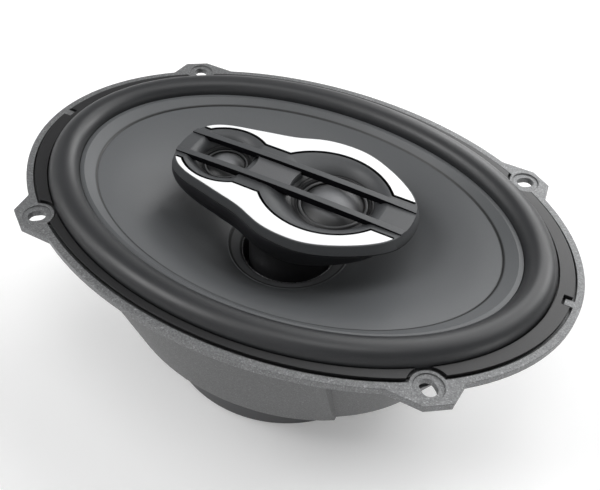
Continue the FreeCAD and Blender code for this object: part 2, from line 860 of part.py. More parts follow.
def post():
    """Hollow black post on the pole, with a threaded stem that runs through it."""
    foot = pole_top()
    shoulder = foot + d.post_foot_height
    inside = foot + d.post_base
    turned = spin("post_turned", [
        (d.stem_bore, stem_bottom()), (d.stem_radius, stem_bottom()), (d.stem_radius, foot),
        (d.post_foot_radius, foot), (d.post_foot_radius, shoulder), (d.post_radius, shoulder + 1.5),
        (d.post_radius, -d.pod_bottom), (d.post_bore, -d.pod_bottom), (d.post_bore, inside),
        (d.stem_bore, inside),
    ])
    keep("post", cut("post", turned, four_ways("post_screw_hole", pod_screw_hole("post_screw_hole"))))


def pod_screw_hole(name):
    """Tapping hole of the first quadrant between pod floor and post."""
    reach = (d.post_radius + d.post_bore) * 0.5 * math.sqrt(0.5)
    return cylinder(name, d.pod_screw_hole, -d.pod_screw_hole_depth, 0, reach, reach)


def stem_bottom():
    """Height of the lower end of the post's stem."""
    return nut_top() - d.nut_height


def nut_top():
    """Height of the face between washer and nut."""
    return motor_bottom() + d.nut_recess_depth - d.washer_thickness


def post_washer():
    """Flat washer in the yoke's recess."""
    keep("post_washer", spin("post_washer", rectangle(
        d.stem_radius, d.washer_radius, nut_top(), nut_top() + d.washer_thickness)))


def post_nut():
    """Hexagon nut on the post's stem."""
    corner_radius = d.nut_width * (1 / math.sqrt(3))
    prism = doc.addObject("Part::Prism", "nut_prism")
    prism.Polygon = 6
    bind(prism, Circumradius=corner_radius, Height=d.nut_height, Placement__Base__z=stem_bottom())
    bore = cylinder("nut_bore", d.stem_radius, BELOW, nut_top() + d.nut_height)
    keep("post_nut", cut("post_nut", prism, [bore]))


# ---------------------------------------------------------------- pod

POD_HALF_WIDTHS = [
    (-52.2, 0.0), (-51.6, 6.0), (-48.9, 12.4), (-41.5, 17.4), (-31.0, 20.2), (-20.8, 22.6),
    (-10.6, 25.2), (-0.5, 29.3), (11.6, 31.1), (20.0, 30.4), (30.3, 26.6), (41.0, 20.2),
    (49.4, 11.8), (52.2, 0.0),
]


POD_BOWL = [
    (1.0, 1.0, 0.0, 0.0), (0.95, 0.985, 0.21, -2.6), (0.90, 0.94, 0.43, -3.2), (0.80, 0.86, 0.67, -2.0),
    (0.65, 0.74, 0.89, -0.6), (0.50, 0.66, 1.0, 0.0),
]


def pod_wire(length_scale, width_scale, height, shift=0.0):
    """Outline of the pod, scaled and moved along X: two lobes, the larger one towards +X."""
    upper = [Vector(x * length_scale + shift, y * width_scale, height) for x, y in POD_HALF_WIDTHS]
    lower = [Vector(point.x, -point.y, height) for point in upper[-2:0:-1]]
    curve = Part.BSplineCurve()
    curve.interpolate(upper + lower, PeriodicFlag=True)
    return Part.Wire([curve.toShape()])


def pod_loft(name, stations):
    """Solid through pod outlines given as (length scale, width scale, height, shift)."""
    return set_shape(name, Part.makeLoft([pod_wire(*station) for station in stations], True, False))


def pod_prism(name, inset, bottom, top):
    """Upright prism over the pod's top outline, drawn in by inset."""
    longest = max(x for x, y in POD_HALF_WIDTHS)
    widest = max(y for x, y in POD_HALF_WIDTHS)
    length_scale = d.pod_top_length_scale.number - inset / longest
    width_scale = d.pod_top_width_scale.number - inset / widest
    face = Part.Face(pod_wire(length_scale, width_scale, bottom))
    return set_shape(name, face.extrude(Vector(0, 0, top - bottom)))


def bowl_stations(inset, floor):
    """Outlines of the lower shell from its seam down to the floor on the post."""
    longest = max(x for x, y in POD_HALF_WIDTHS)
    widest = max(y for x, y in POD_HALF_WIDTHS)
    top = d.pod_parting.number
    return [(length - inset / longest, width - inset / widest, top - (top - floor) * fall, shift)
            for length, width, fall, shift in POD_BOWL]


def pod_lower_shell():
    """Bowl that carries the dome units and sits on the post."""
    outside = pod_loft("bowl_outside", bowl_stations(0.0, -d.pod_bottom.number))
    wall = d.pod_wall.number
    inner = bowl_stations(wall, wall - d.pod_bottom.number)
    length, width, height, shift = inner[0]
    hollow = pod_loft("bowl_inside", [(length, width, height + 1, shift)] + inner[1:])
    wire_hole = cylinder("pod_wire_hole", 8, -20, 0)
    tools = [hollow, wire_hole] + four_ways("pod_screw_hole", pod_screw_hole("pod_screw_hole"))
    keep("pod_lower_shell", cut("pod_lower_shell", outside, tools))


def between_inlays(name, inset, bottom, top):
    """Deck between the two inlays: straight ends, two arched bays and a waist."""
    def bay(arc_x, arc_y, radius, half):
        reach = math.sqrt(radius ** 2 - (half + arc_y) ** 2)
        return arc_x - reach, arc_x + reach

    end_half = d.inlay_end_half - inset
    waist = d.inlay_waist_half - inset
    large_radius = d.large_arc_radius - inset
    small_radius = d.small_arc_radius - inset
    small_end = bay(d.small_arc_x.number, d.small_arc_y.number, small_radius.number, end_half.number)[0]
    small_waist = bay(d.small_arc_x.number, d.small_arc_y.number, small_radius.number, waist.number)[1]
    large_waist = bay(d.large_arc_x.number, d.large_arc_y.number, large_radius.number, waist.number)[0]
    large_end = bay(d.large_arc_x.number, d.large_arc_y.number, large_radius.number, end_half.number)[1]
    far = BEYOND.number
    upper = [
        (-far, end_half), (small_end, end_half, d.small_arc_x, small_radius - d.small_arc_y),
        (small_waist, waist), (large_waist, waist, d.large_arc_x, large_radius - d.large_arc_y),
        (large_end, end_half), (far, end_half),
    ]
    lower = [
        (far, -end_half), (large_end, -end_half, d.large_arc_x, -(large_radius - d.large_arc_y)),
        (large_waist, -waist), (small_waist, -waist, d.small_arc_x, -(small_radius - d.small_arc_y)),
        (small_end, -end_half), (-far, -end_half),
    ]
    return outline_prism(name, upper + lower, bottom, top)


def mouth_corners(lobe_start, lobe_end, arc_x, arc_y, radius, left_half, right_half):
    """Mouth of a flare: far and near arcs of the bay and slightly bowed ends, as three-point arcs."""
    inner = radius - d.inlay_gap - d.mouth_edge
    far_top = (arc_x, inner - arc_y)
    return [
        ((lobe_end, -right_half), (lobe_end + d.mouth_bow, ZERO), (lobe_end, right_half)),
        ((lobe_end, right_half), far_top, (lobe_start, left_half)),
        ((lobe_start, left_half), (lobe_start - d.mouth_bow, ZERO), (lobe_start, -left_half)),
        ((lobe_start, -left_half), (arc_x, -(inner - arc_y)), (lobe_end, -right_half)),
    ]


def flare_wire(centre_x, throat, mouth, share, height):
    """Outline between the round throat and the mouth; share runs from 0 at the throat to 1."""
    centre = Vector(centre_x.number, 0, 0)
    edges = []
    for arc in mouth:
        places = []
        for place in arc:
            outer = flat(place)
            inner = centre + (outer - centre).normalize() * throat.number
            point = inner + (outer - inner) * share
            places.append(Vector(point.x, point.y, height))
        edges.append(Part.Arc(*places).toShape())
    return Part.Wire(edges)


def flare_cutter(name, centre_x, throat, mouth):
    """Horn from a dome's round throat to the mouth at the inlays, flattening towards its lip."""
    low = d.throat_height.number
    rise = (d.pod_deck + d.pod_raise).number - low
    wires = [flare_wire(centre_x, throat, mouth, share, low + rise * (1 - (1 - share) ** 1.8))
             for share in (0.0, 0.3, 0.65, 1.0)]
    horn = Part.makeLoft(wires, True, False)
    lid = Part.Face(wires[-1]).extrude(Vector(0, 0, 4))
    throat_disc = Part.Face(wires[0]).extrude(Vector(0, 0, -2))
    return set_shape(name, horn.fuse([lid, throat_disc]))


def rail(name, inner_y):
    """Raised bar that runs the length of the pod and arches a little at the middle."""
    sketch = doc.addObject("Sketcher::SketchObject", f"{name}_side")
    half = d.rail_half_length
    draw_outline(sketch, [
        (-half, d.rail_bottom), (half, d.rail_bottom),
        (half, d.rail_end_height, ZERO, d.rail_crown_height), (-half, d.rail_end_height),
    ])
    sketch.Placement.Rotation = Rotation(Vector(1, 0, 0), 90)
    bind(sketch, Placement__Base__y=inner_y + d.rail_width)
    bar = doc.addObject("Part::Extrusion", f"{name}_bar")
    bar.Base = sketch
    bar.Dir = Vector(0, -1, 0)
    bar.Solid = True
    bind(bar, LengthFwd=d.rail_width)
    return common(name, bar, pod_prism(f"{name}_limit", 0.0, d.pod_parting.number, ABOVE.number))


def large_mouth():
    """Mouth of the large bay."""
    side = d.inlay_end_half - d.inlay_gap - d.mouth_edge
    waist = d.inlay_waist_half - d.inlay_gap - d.mouth_edge
    return mouth_corners(d.large_mouth_start, d.large_mouth_end, d.large_arc_x, d.large_arc_y,
                         d.large_arc_radius, waist, side)


def small_mouth():
    """Mouth of the small bay."""
    side = d.inlay_end_half - d.inlay_gap - d.mouth_edge
    waist = d.inlay_waist_half - d.inlay_gap - d.mouth_edge
    return mouth_corners(d.small_mouth_start, d.small_mouth_end, d.small_arc_x, d.small_arc_y,
                         d.small_arc_radius, side, waist)


def badge_clear(name):
    """Round clearances about the two domes that end the badge plate and its bridge."""
    return [cylinder(f"{name}_large_clear", d.badge_large_clear, 0, ABOVE, d.large_dome_x),
            cylinder(f"{name}_small_clear", d.badge_small_clear, 0, ABOVE, d.small_dome_x)]


def pod_upper_shell():
    """Top cover: side band, deck with two flares, two rails and the badge bridge."""
    deck_top = d.pod_deck + d.pod_raise
    floor = d.badge_top - d.badge_thickness
    base = pod_loft("cover_block", [
        (1.0, 1.0, d.pod_parting.number + d.pod_seam.number),
        (d.pod_top_length_scale.number, d.pod_top_width_scale.number, deck_top.number),
    ])
    gap = d.inlay_gap.number
    seat = cut("inlay_seat", pod_prism("inlay_seat_outline", d.inlay_edge.number, d.pod_deck.number,
                                      ABOVE.number),
               [between_inlays("inlay_seat_deck", gap, ZERO, ABOVE)])
    groove = cut("inlay_groove", between_inlays("groove_outside", 0.0, d.groove_bottom, ABOVE),
                 [between_inlays("groove_inside", gap, ZERO, ABOVE + 1)])
    groove = common("inlay_groove_inside", groove,
                    pod_prism("groove_limit", d.inlay_edge.number, ZERO.number, ABOVE.number))
    large_throat = d.large_dome_radius + d.large_rim + d.throat_gap
    small_throat = d.small_dome_radius + d.small_rim + d.throat_gap
    flares = [flare_cutter("large_flare", d.large_dome_x, large_throat, large_mouth()),
              flare_cutter("small_flare", d.small_dome_x, small_throat, small_mouth())]
    deck = cut("cover_deck", base, [seat, groove] + flares)
    reach = d.rail_inner_y + d.bridge_lap
    bridge = cut("badge_bridge", block("bridge_block", (d.bridge_start, -reach, d.pod_parting + 0.85),
                                       (d.bridge_end, reach, d.rail_bottom + 0.4)), badge_clear("bridge"))
    far_rail = rail("rail_far", d.rail_inner_y)
    cover = fuse("cover_with_rails", [deck, bridge, far_rail, mirror("rail_near", far_rail, Vector(0, 1, 0))])
    half = d.badge_half_width + d.badge_side_clear
    notch = block("badge_notch", (d.badge_start - 1, -half, floor), (d.badge_end + 1, half, ABOVE))
    keep("pod_upper_shell", cut("pod_upper_shell", cover, [notch]))


def trim_inlays():
    """Two white inlays beside the bays of the deck."""
    top = (d.pod_deck + d.inlay_thickness).number
    sheet_metal = cut("inlay_pair", pod_prism("inlay_outline", (d.inlay_edge + d.inlay_clear).number,
                                              d.pod_deck.number, top),
                      [between_inlays("inlay_deck", 0.0, ZERO, ABOVE)])
    far_half = block("far_half", (-BEYOND, ZERO, ZERO), (BEYOND, BEYOND, ABOVE))
    keep("trim_inlay_far", common("trim_inlay_far", sheet_metal, far_half))
    keep("trim_inlay_near", mirror("trim_inlay_near", doc.getObject("trim_inlay_far"), Vector(0, 1, 0)))


def badge_plate():
    """Blank plate between the rails, with hollow round ends."""
    plate = block("badge_blank", (d.badge_start, -d.badge_half_width, d.badge_top - d.badge_thickness),
                  (d.badge_end, d.badge_half_width, d.badge_top))
    keep("badge_plate", cut("badge_plate", plate, badge_clear("plate")))


# ---------------------------------------------------------------- dome units

def cap_point(radius, rise):
    """Point halfway along a spherical cap's section, as multiples of radius and rise."""
    ratio = (radius.number ** 2 + rise.number ** 2) / (2 * rise.number)
    half_angle = math.asin(radius.number / ratio) / 2
    across = ratio * math.sin(half_angle) / radius.number
    down = ratio * (1 - math.cos(half_angle)) / rise.number
    return radius * across, rise * (1 - down)


def dome_unit(prefix, centre_x, radius, rim):
    """Small dome with its surround, coil, face ring, plate, magnet and yoke cup."""
    plane = d.dome_plane
    skin = d.dome_skin
    rise = radius * d.dome_rise_share.number
    across, up = cap_point(radius, rise)
    inner = radius - skin
    inner_across, inner_up = cap_point(inner, rise - skin)
    edge = radius + rim * d.rim_share.number
    outer = radius + rim
    flange = outer + d.ring_flange
    seat = plane - d.dome_seat_depth
    plate_bottom = seat - d.dome_plate_thickness
    magnet_bottom = plate_bottom - radius * d.dome_magnet_share.number
    keep(f"{prefix}_dome", spin(f"{prefix}_dome", [
        (ZERO, plane + rise, across, plane + up), (radius, plane),
        (inner, plane, inner_across, plane + inner_up), (ZERO, plane + rise - skin),
    ], centre_x))
    roll_start = radius + d.dome_roll_gap
    roll_end = edge - d.dome_roll_gap
    middle = (roll_start + roll_end) * 0.5
    height = (roll_end - roll_start) * d.dome_roll_share.number
    keep(f"{prefix}_dome_surround", spin(f"{prefix}_dome_surround", [
        (roll_start, plane), (roll_start + 0.2, plane, middle, plane + height - skin),
        (roll_end - 0.2, plane),
        (roll_end, plane), (roll_end, plane + skin, middle, plane + height), (roll_start, plane + skin),
    ], centre_x))
    keep(f"{prefix}_dome_coil", spin(f"{prefix}_dome_coil", rectangle(
        inner, radius, plate_bottom - 0.4, plane), centre_x))
    ledge = plane + d.ring_ledge
    crest = ledge + d.ring_height
    keep(f"{prefix}_face_ring", spin(f"{prefix}_face_ring", [
        (edge, seat), (outer, seat), (outer, ledge), (flange, ledge), (flange, crest),
        (outer, crest), (outer - 0.45, crest - 0.5), (edge + 0.4, crest - 0.1), (edge, crest - 0.6),
    ], centre_x))
    keep(f"{prefix}_pole_plate", spin(f"{prefix}_pole_plate", rectangle(
        ZERO, radius - 0.7, plate_bottom, seat), centre_x))
    keep(f"{prefix}_dome_magnet", spin(f"{prefix}_dome_magnet", rectangle(
        ZERO, radius - 1.5, magnet_bottom, plate_bottom), centre_x))
    cup_inside = radius + 0.5
    cup_outside = outer - 0.4
    keep(f"{prefix}_yoke_cup", spin(f"{prefix}_yoke_cup", [
        (ZERO, magnet_bottom - d.dome_cup_floor), (cup_outside, magnet_bottom - d.dome_cup_floor),
        (cup_outside, seat), (cup_inside, seat), (cup_inside, magnet_bottom), (ZERO, magnet_bottom),
    ], centre_x))


# ---------------------------------------------------------------- terminals and wires

def wall_frame():
    """Placement on the stepped wall at the -X end: local x runs down it, local z points out."""
    high = Vector(-(d.wall_half_length - d.recess_depth).number, 0, d.flange_thickness.number * 0.3)
    low = Vector(-(d.skirt_half_length - d.foot_recess).number, 0, -d.skirt_depth.number)
    down = (low - high).normalize()
    share = (high.z + d.terminal_drop.number) / (high.z - low.z)
    outward = Vector(down.z, 0, -down.x)
    return Placement(high + (low - high) * share, Rotation(down, Vector(0, -1, 0), outward, "ZXY"))


def wall_block(name, low, high):
    """Box in the terminal's frame on the sloping wall."""
    brick = block(name, low, high)
    for axis in "xyz":
        brick.setExpression(f"Placement.Base.{axis}", None)
    corner = Vector(*[as_size(length).number for length in low])
    brick.Placement = wall_frame().multiply(Placement(corner, Rotation()))
    return brick


def wall_pin(name, radius, x, y, bottom, top):
    """Round pin square to the sloping wall."""
    pin = doc.addObject("Part::Cylinder", name)
    bind(pin, Radius=radius, Height=as_size(top) - bottom)
    corner = Vector(*[as_size(length).number for length in (x, y, bottom)])
    pin.Placement = wall_frame().multiply(Placement(corner, Rotation()))
    return pin


def rivet_holes(name):
    """Holes for the two terminal rivets."""
    return [wall_pin(f"{name}_rivet_hole_{side}", d.rivet_radius, d.rivet_x, d.tab_offset_y * side, -6, 9)
            for side in (1, -1)]


def rib_slot():
    """Slot behind the terminal block that lets the leads out."""
    half = d.tab_offset_y + 2
    return wall_block("rib_slot", (-d.lead_hole_x - 2, -half, Size(-6)), (-d.lead_hole_x + 2, half, Size(6)))


def wire_holes():
    """Hole in the ledge for the pod's feed wires."""
    return [cylinder("ledge_wire_hole", d.ledge_hole_radius, -d.skirt_depth, -d.window_bottom,
                     -d.wire_hole_x)]


def terminal_block():
    """Moulded block riveted to the rib at the -X end."""
    slab = wall_block("terminal_slab", (-d.terminal_half_length, -d.terminal_half_width, ZERO),
                      (d.terminal_half_length, d.terminal_half_width, d.terminal_thickness))
    holes = [wall_pin(f"lead_hole_{side}", d.wire_hole_radius, -d.lead_hole_x, d.tab_offset_y * side, -2, 6)
             for side in (1, -1)]
    keep("terminal_block", cut("terminal_block", slab, holes + rivet_holes("block")))


def terminal_tab(label, side, width):
    """Push-on blade that lies on the block and points down the wall."""
    centre = d.tab_offset_y * side
    blade = wall_block(f"{label}_blade", (-d.tab_start, centre - width * 0.5, d.terminal_thickness),
                       (d.tab_end, centre + width * 0.5, d.terminal_thickness + d.tab_thickness))
    hole = wall_pin(f"{label}_hole", d.tab_hole_radius, d.tab_hole_x, centre, 0, 9)
    keep(label, cut(label, blade, [hole] + rivet_holes(label)))


def terminal_rivets():
    """Two rivets through blades, block and wall."""
    top = d.terminal_thickness + d.tab_thickness
    rivets = []
    for side in (1, -1):
        place = (d.rivet_x, d.tab_offset_y * side)
        shank = wall_pin(f"rivet_shank_{side}", d.rivet_radius, *place,
                         -d.wall_thickness - d.rivet_tail, top)
        head = wall_pin(f"rivet_head_{side}", d.rivet_head_radius, *place, top, top + d.rivet_head_height)
        rivets.append(fuse(f"rivet_{side}", [shank, head]))
    group = doc.addObject("Part::Compound", "terminal_rivets")
    group.Links = rivets
    keep("terminal_rivets", group)


def wire_path(points, bend):
    """Straight runs joined by tangent arcs of radius bend, or less where the runs are short."""
    edges = []
    start = points[0]
    for before, corner, after in zip(points, points[1:], points[2:]):
        arriving = corner - before
        leaving = after - corner
        half_turn = arriving.getAngle(leaving) / 2
        room = 0.45 * min(arriving.Length, leaving.Length)
        setback = min(room, bend * math.tan(half_turn))
        radius = setback / math.tan(half_turn)
        arriving.normalize()
        leaving.normalize()
        entry = corner - arriving * setback
        leave_point = corner + leaving * setback
        inward = (leaving - arriving).normalize()
        middle = corner + inward * (radius / math.cos(half_turn) - radius)
        edges.append(Part.LineSegment(start, entry).toShape())
        edges.append(Part.Arc(entry, middle, leave_point).toShape())
        start = leave_point
    edges.append(Part.LineSegment(start, points[-1]).toShape())
    return Part.Wire(edges)


def wire_solid(label, points, radius, bend):
    """Round wire along a route of points."""
    path = wire_path(points, bend)
    first = (points[1] - points[0]).normalize()
    section = Part.Wire([Part.Circle(points[0], first, radius).toShape()])
    solid = path.makePipeShell([section], True, False)
    wanted = math.pi * radius ** 2 * path.Length
    if abs(solid.Volume - wanted) > 0.02 * wanted:
        raise RuntimeError(f"{label}: volume {solid.Volume:.1f}, wanted {wanted:.1f}")
    keep(label, set_shape(label, solid))


def lead_route(side):
    """Slack route of a tinsel lead from the cone's back to its terminal."""
    frame = wall_frame()
    tab = d.tab_offset_y.number * side
    hole = -d.lead_hole_x.number
    end = frame.multVec(Vector(hole, tab, d.terminal_thickness.number))
    inside = frame.multVec(Vector(hole, tab, -4.5))
    anchor_y = -d.lead_anchor_y.number * side
    anchor = Vector(-d.lead_anchor_x.number, anchor_y, -14.6)
    return [anchor, anchor + Vector(-2.0, 0, -4.5), anchor + Vector(-9, -0.1 * side, -9.5),
            anchor + Vector(-19, 1.0 * side, -11.0), inside, end]


def feed_route(side):
    """Route of a pod feed wire: ledge hole, boot channel, yoke groove, stem, post, pod."""
    y = -d.feed_wire_spacing.number * 0.5 * side
    hole_x = -d.wire_hole_x.number
    channel_x = -(d.boot_radius - d.boot_wall).number - 0.7
    groove_z = motor_bottom().number + 0.65
    frame = wall_frame()
    start = frame.multVec(Vector(-d.lead_hole_x.number, 0, -3.2))
    ring_x = (d.large_dome_x - d.large_dome_radius - d.large_rim).number
    solder_z = 6.8
    down_the_wall = [Vector(start.x, y, start.z), Vector(hole_x - 8, y, -28.5), Vector(hole_x, y, -31),
                     Vector(hole_x, y, -41), Vector(channel_x - 0.3, y, -54), Vector(channel_x, y, -60)]
    up_the_post = [Vector(channel_x, y, groove_z), Vector(0, y, groove_z), Vector(0, y, -9),
                   Vector(-1.5, y * 2, 0), Vector(-1.5, y * 3, solder_z),
                   Vector(ring_x + 0.28, y * 3, solder_z)]
    return down_the_wall + up_the_post


def capacitor(label, side, radius, height):
    """Upright crossover capacitor on the post's base."""
    bottom = pole_top() + d.post_base
    keep(label, spin(label, [
        (ZERO, bottom), (radius, bottom), (radius, bottom + height - d.capacitor_edge),
        (radius - d.capacitor_edge, bottom + height),
        (ZERO, bottom + height),
    ], d.capacitor_offset * side))


# ---------------------------------------------------------------- assembly

basket()
trim_ring()
surround()
cone()
neck_ring()
coil_former()
coil_winding()
spider()
front_plate()
magnet()
pole_yoke()
magnet_boot()
screw_group("motor_screws", d.screw_circle, d.screw_radius, d.screw_head_radius, d.screw_head_height,
            -d.floor_depth, -d.screw_tip)
post()
post_washer()
post_nut()
pod_lower_shell()
pod_upper_shell()
trim_inlays()
badge_plate()
screw_group("pod_screws", (d.post_radius + d.post_bore) * 0.5, d.pod_screw_radius,
            d.pod_screw_head_radius, d.pod_screw_head_height, d.pod_wall - d.pod_bottom, -d.pod_screw_tip)
dome_unit("large", d.large_dome_x, d.large_dome_radius, d.large_rim)
dome_unit("small", d.small_dome_x, d.small_dome_radius, d.small_rim)
terminal_block()
terminal_tab("terminal_tab_positive", 1, d.wide_tab_width)
terminal_tab("terminal_tab_negative", -1, d.narrow_tab_width)
terminal_rivets()
capacitor("capacitor_large", -1, d.capacitor_large_radius, d.capacitor_large_height)
capacitor("capacitor_small", 1, d.capacitor_small_radius, d.capacitor_small_height)
for lead_name, lead_side in (("positive", 1), ("negative", -1)):
    wire_solid(f"lead_wire_{lead_name}", lead_route(lead_side), d.lead_radius.number, d.lead_bend.number)
    wire_solid(f"feed_wire_{lead_name}", feed_route(lead_side), d.feed_wire_radius.number,
               d.feed_bend.number)


# ---------------------------------------------------------------- export

def check_document():
    """Stop if any feature failed or any sub-part has no valid solid."""
    doc.recompute()
    failed = [thing.Name for thing in doc.Objects if "Invalid" in thing.State or "Error" in thing.State]
    if failed:
        raise RuntimeError(f"features that failed: {failed}")
    for thing in parts:
        if thing.Shape.isNull() or not thing.Shape.isValid() or not thing.Shape.Solids:
            raise RuntimeError(f"no valid solid in {thing.Label}")


def export_parts():
    """Write each sub-part to a STEP file of its own."""
    os.makedirs("parts", exist_ok=True)
    for thing in parts:
        thing.Shape.exportStep(f"parts/{thing.Label}.step")
        solids = len(thing.Shape.Solids)
        print(f"{thing.Label:28s} {solids:2d} solid(s) {thing.Shape.Volume / 1000:9.2f} cm3")


check_document()
export_parts()
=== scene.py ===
import json
import math

import bpy
from mathutils import Matrix, Vector

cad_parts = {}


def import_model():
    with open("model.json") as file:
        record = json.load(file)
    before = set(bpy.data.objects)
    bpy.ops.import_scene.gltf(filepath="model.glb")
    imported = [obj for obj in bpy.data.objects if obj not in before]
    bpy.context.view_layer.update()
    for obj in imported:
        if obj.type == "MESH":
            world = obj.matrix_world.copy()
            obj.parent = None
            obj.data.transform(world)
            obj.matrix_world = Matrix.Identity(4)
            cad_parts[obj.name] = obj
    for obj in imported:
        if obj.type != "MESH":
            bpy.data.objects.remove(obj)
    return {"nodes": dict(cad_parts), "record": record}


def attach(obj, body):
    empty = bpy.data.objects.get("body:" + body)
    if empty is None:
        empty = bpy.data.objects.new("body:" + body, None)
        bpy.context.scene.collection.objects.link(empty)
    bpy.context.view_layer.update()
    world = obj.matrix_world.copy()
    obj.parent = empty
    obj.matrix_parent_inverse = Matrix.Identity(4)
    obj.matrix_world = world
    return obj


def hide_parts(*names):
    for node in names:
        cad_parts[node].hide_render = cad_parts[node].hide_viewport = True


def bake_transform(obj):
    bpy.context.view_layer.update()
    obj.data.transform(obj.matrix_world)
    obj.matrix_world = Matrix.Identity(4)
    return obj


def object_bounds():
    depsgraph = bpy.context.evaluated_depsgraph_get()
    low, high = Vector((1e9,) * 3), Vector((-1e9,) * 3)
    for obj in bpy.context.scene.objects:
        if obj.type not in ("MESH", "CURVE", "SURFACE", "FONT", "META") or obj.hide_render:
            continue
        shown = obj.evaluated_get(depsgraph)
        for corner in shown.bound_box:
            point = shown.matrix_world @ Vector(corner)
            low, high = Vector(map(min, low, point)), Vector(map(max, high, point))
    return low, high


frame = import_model()
cad_box = [list(corner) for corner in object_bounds()]

# Lengths are in millimetres, times MM where Blender takes metres. The large dome is at +X.
MM = 0.001

WALL_SHADE_TOP, WALL_SHADE_DEPTH = -1.0, 10.0       # painted shade: the basket's coat colour is darkened down its wall
STEP_HALF_LENGTH, STEP_HALF_WIDTH = 87.2, 57.3      # the cone's fine step
NECK_RADIUS = 26.1                                  # the cone's neck, where the collar is glued

# The pod's deck between the inlays: two circles (centre x, centre y, radius), a waist that joins them,
# and a strip along the long axis. It is the same on both sides of that axis.
LARGE_CIRCLE = (14.1, -6.6, 30.3)
SMALL_CIRCLE = (-30.7, -2.8, 20.0)
WAIST_CENTRE_X, WAIST_HALF_LENGTH, WAIST_HALF_WIDTH = -8.0, 20.0, 13.9
STRIP_HALF_WIDTH = 11.3
# Painted shade: a near-black band along the groove beside the inlays, and the bays darkening towards their
# bottoms.
GROOVE_WIDTH, GROOVE_END = 0.98, 47.4
BAY_SHADE_BOTTOM, BAY_SHADE_HEIGHT = 8.0, 4.0
RAIL_FLANK_REACH = 8.5                              # both rails' flanks lie within this of the long axis

DOME_PLANE = 7.2
DOME_SHADE_BOTTOM, DOME_SHADE_HEIGHT = 8.2, 1.2     # just above the domes' rolls


# ---------------------------------------------------------------- material nodes

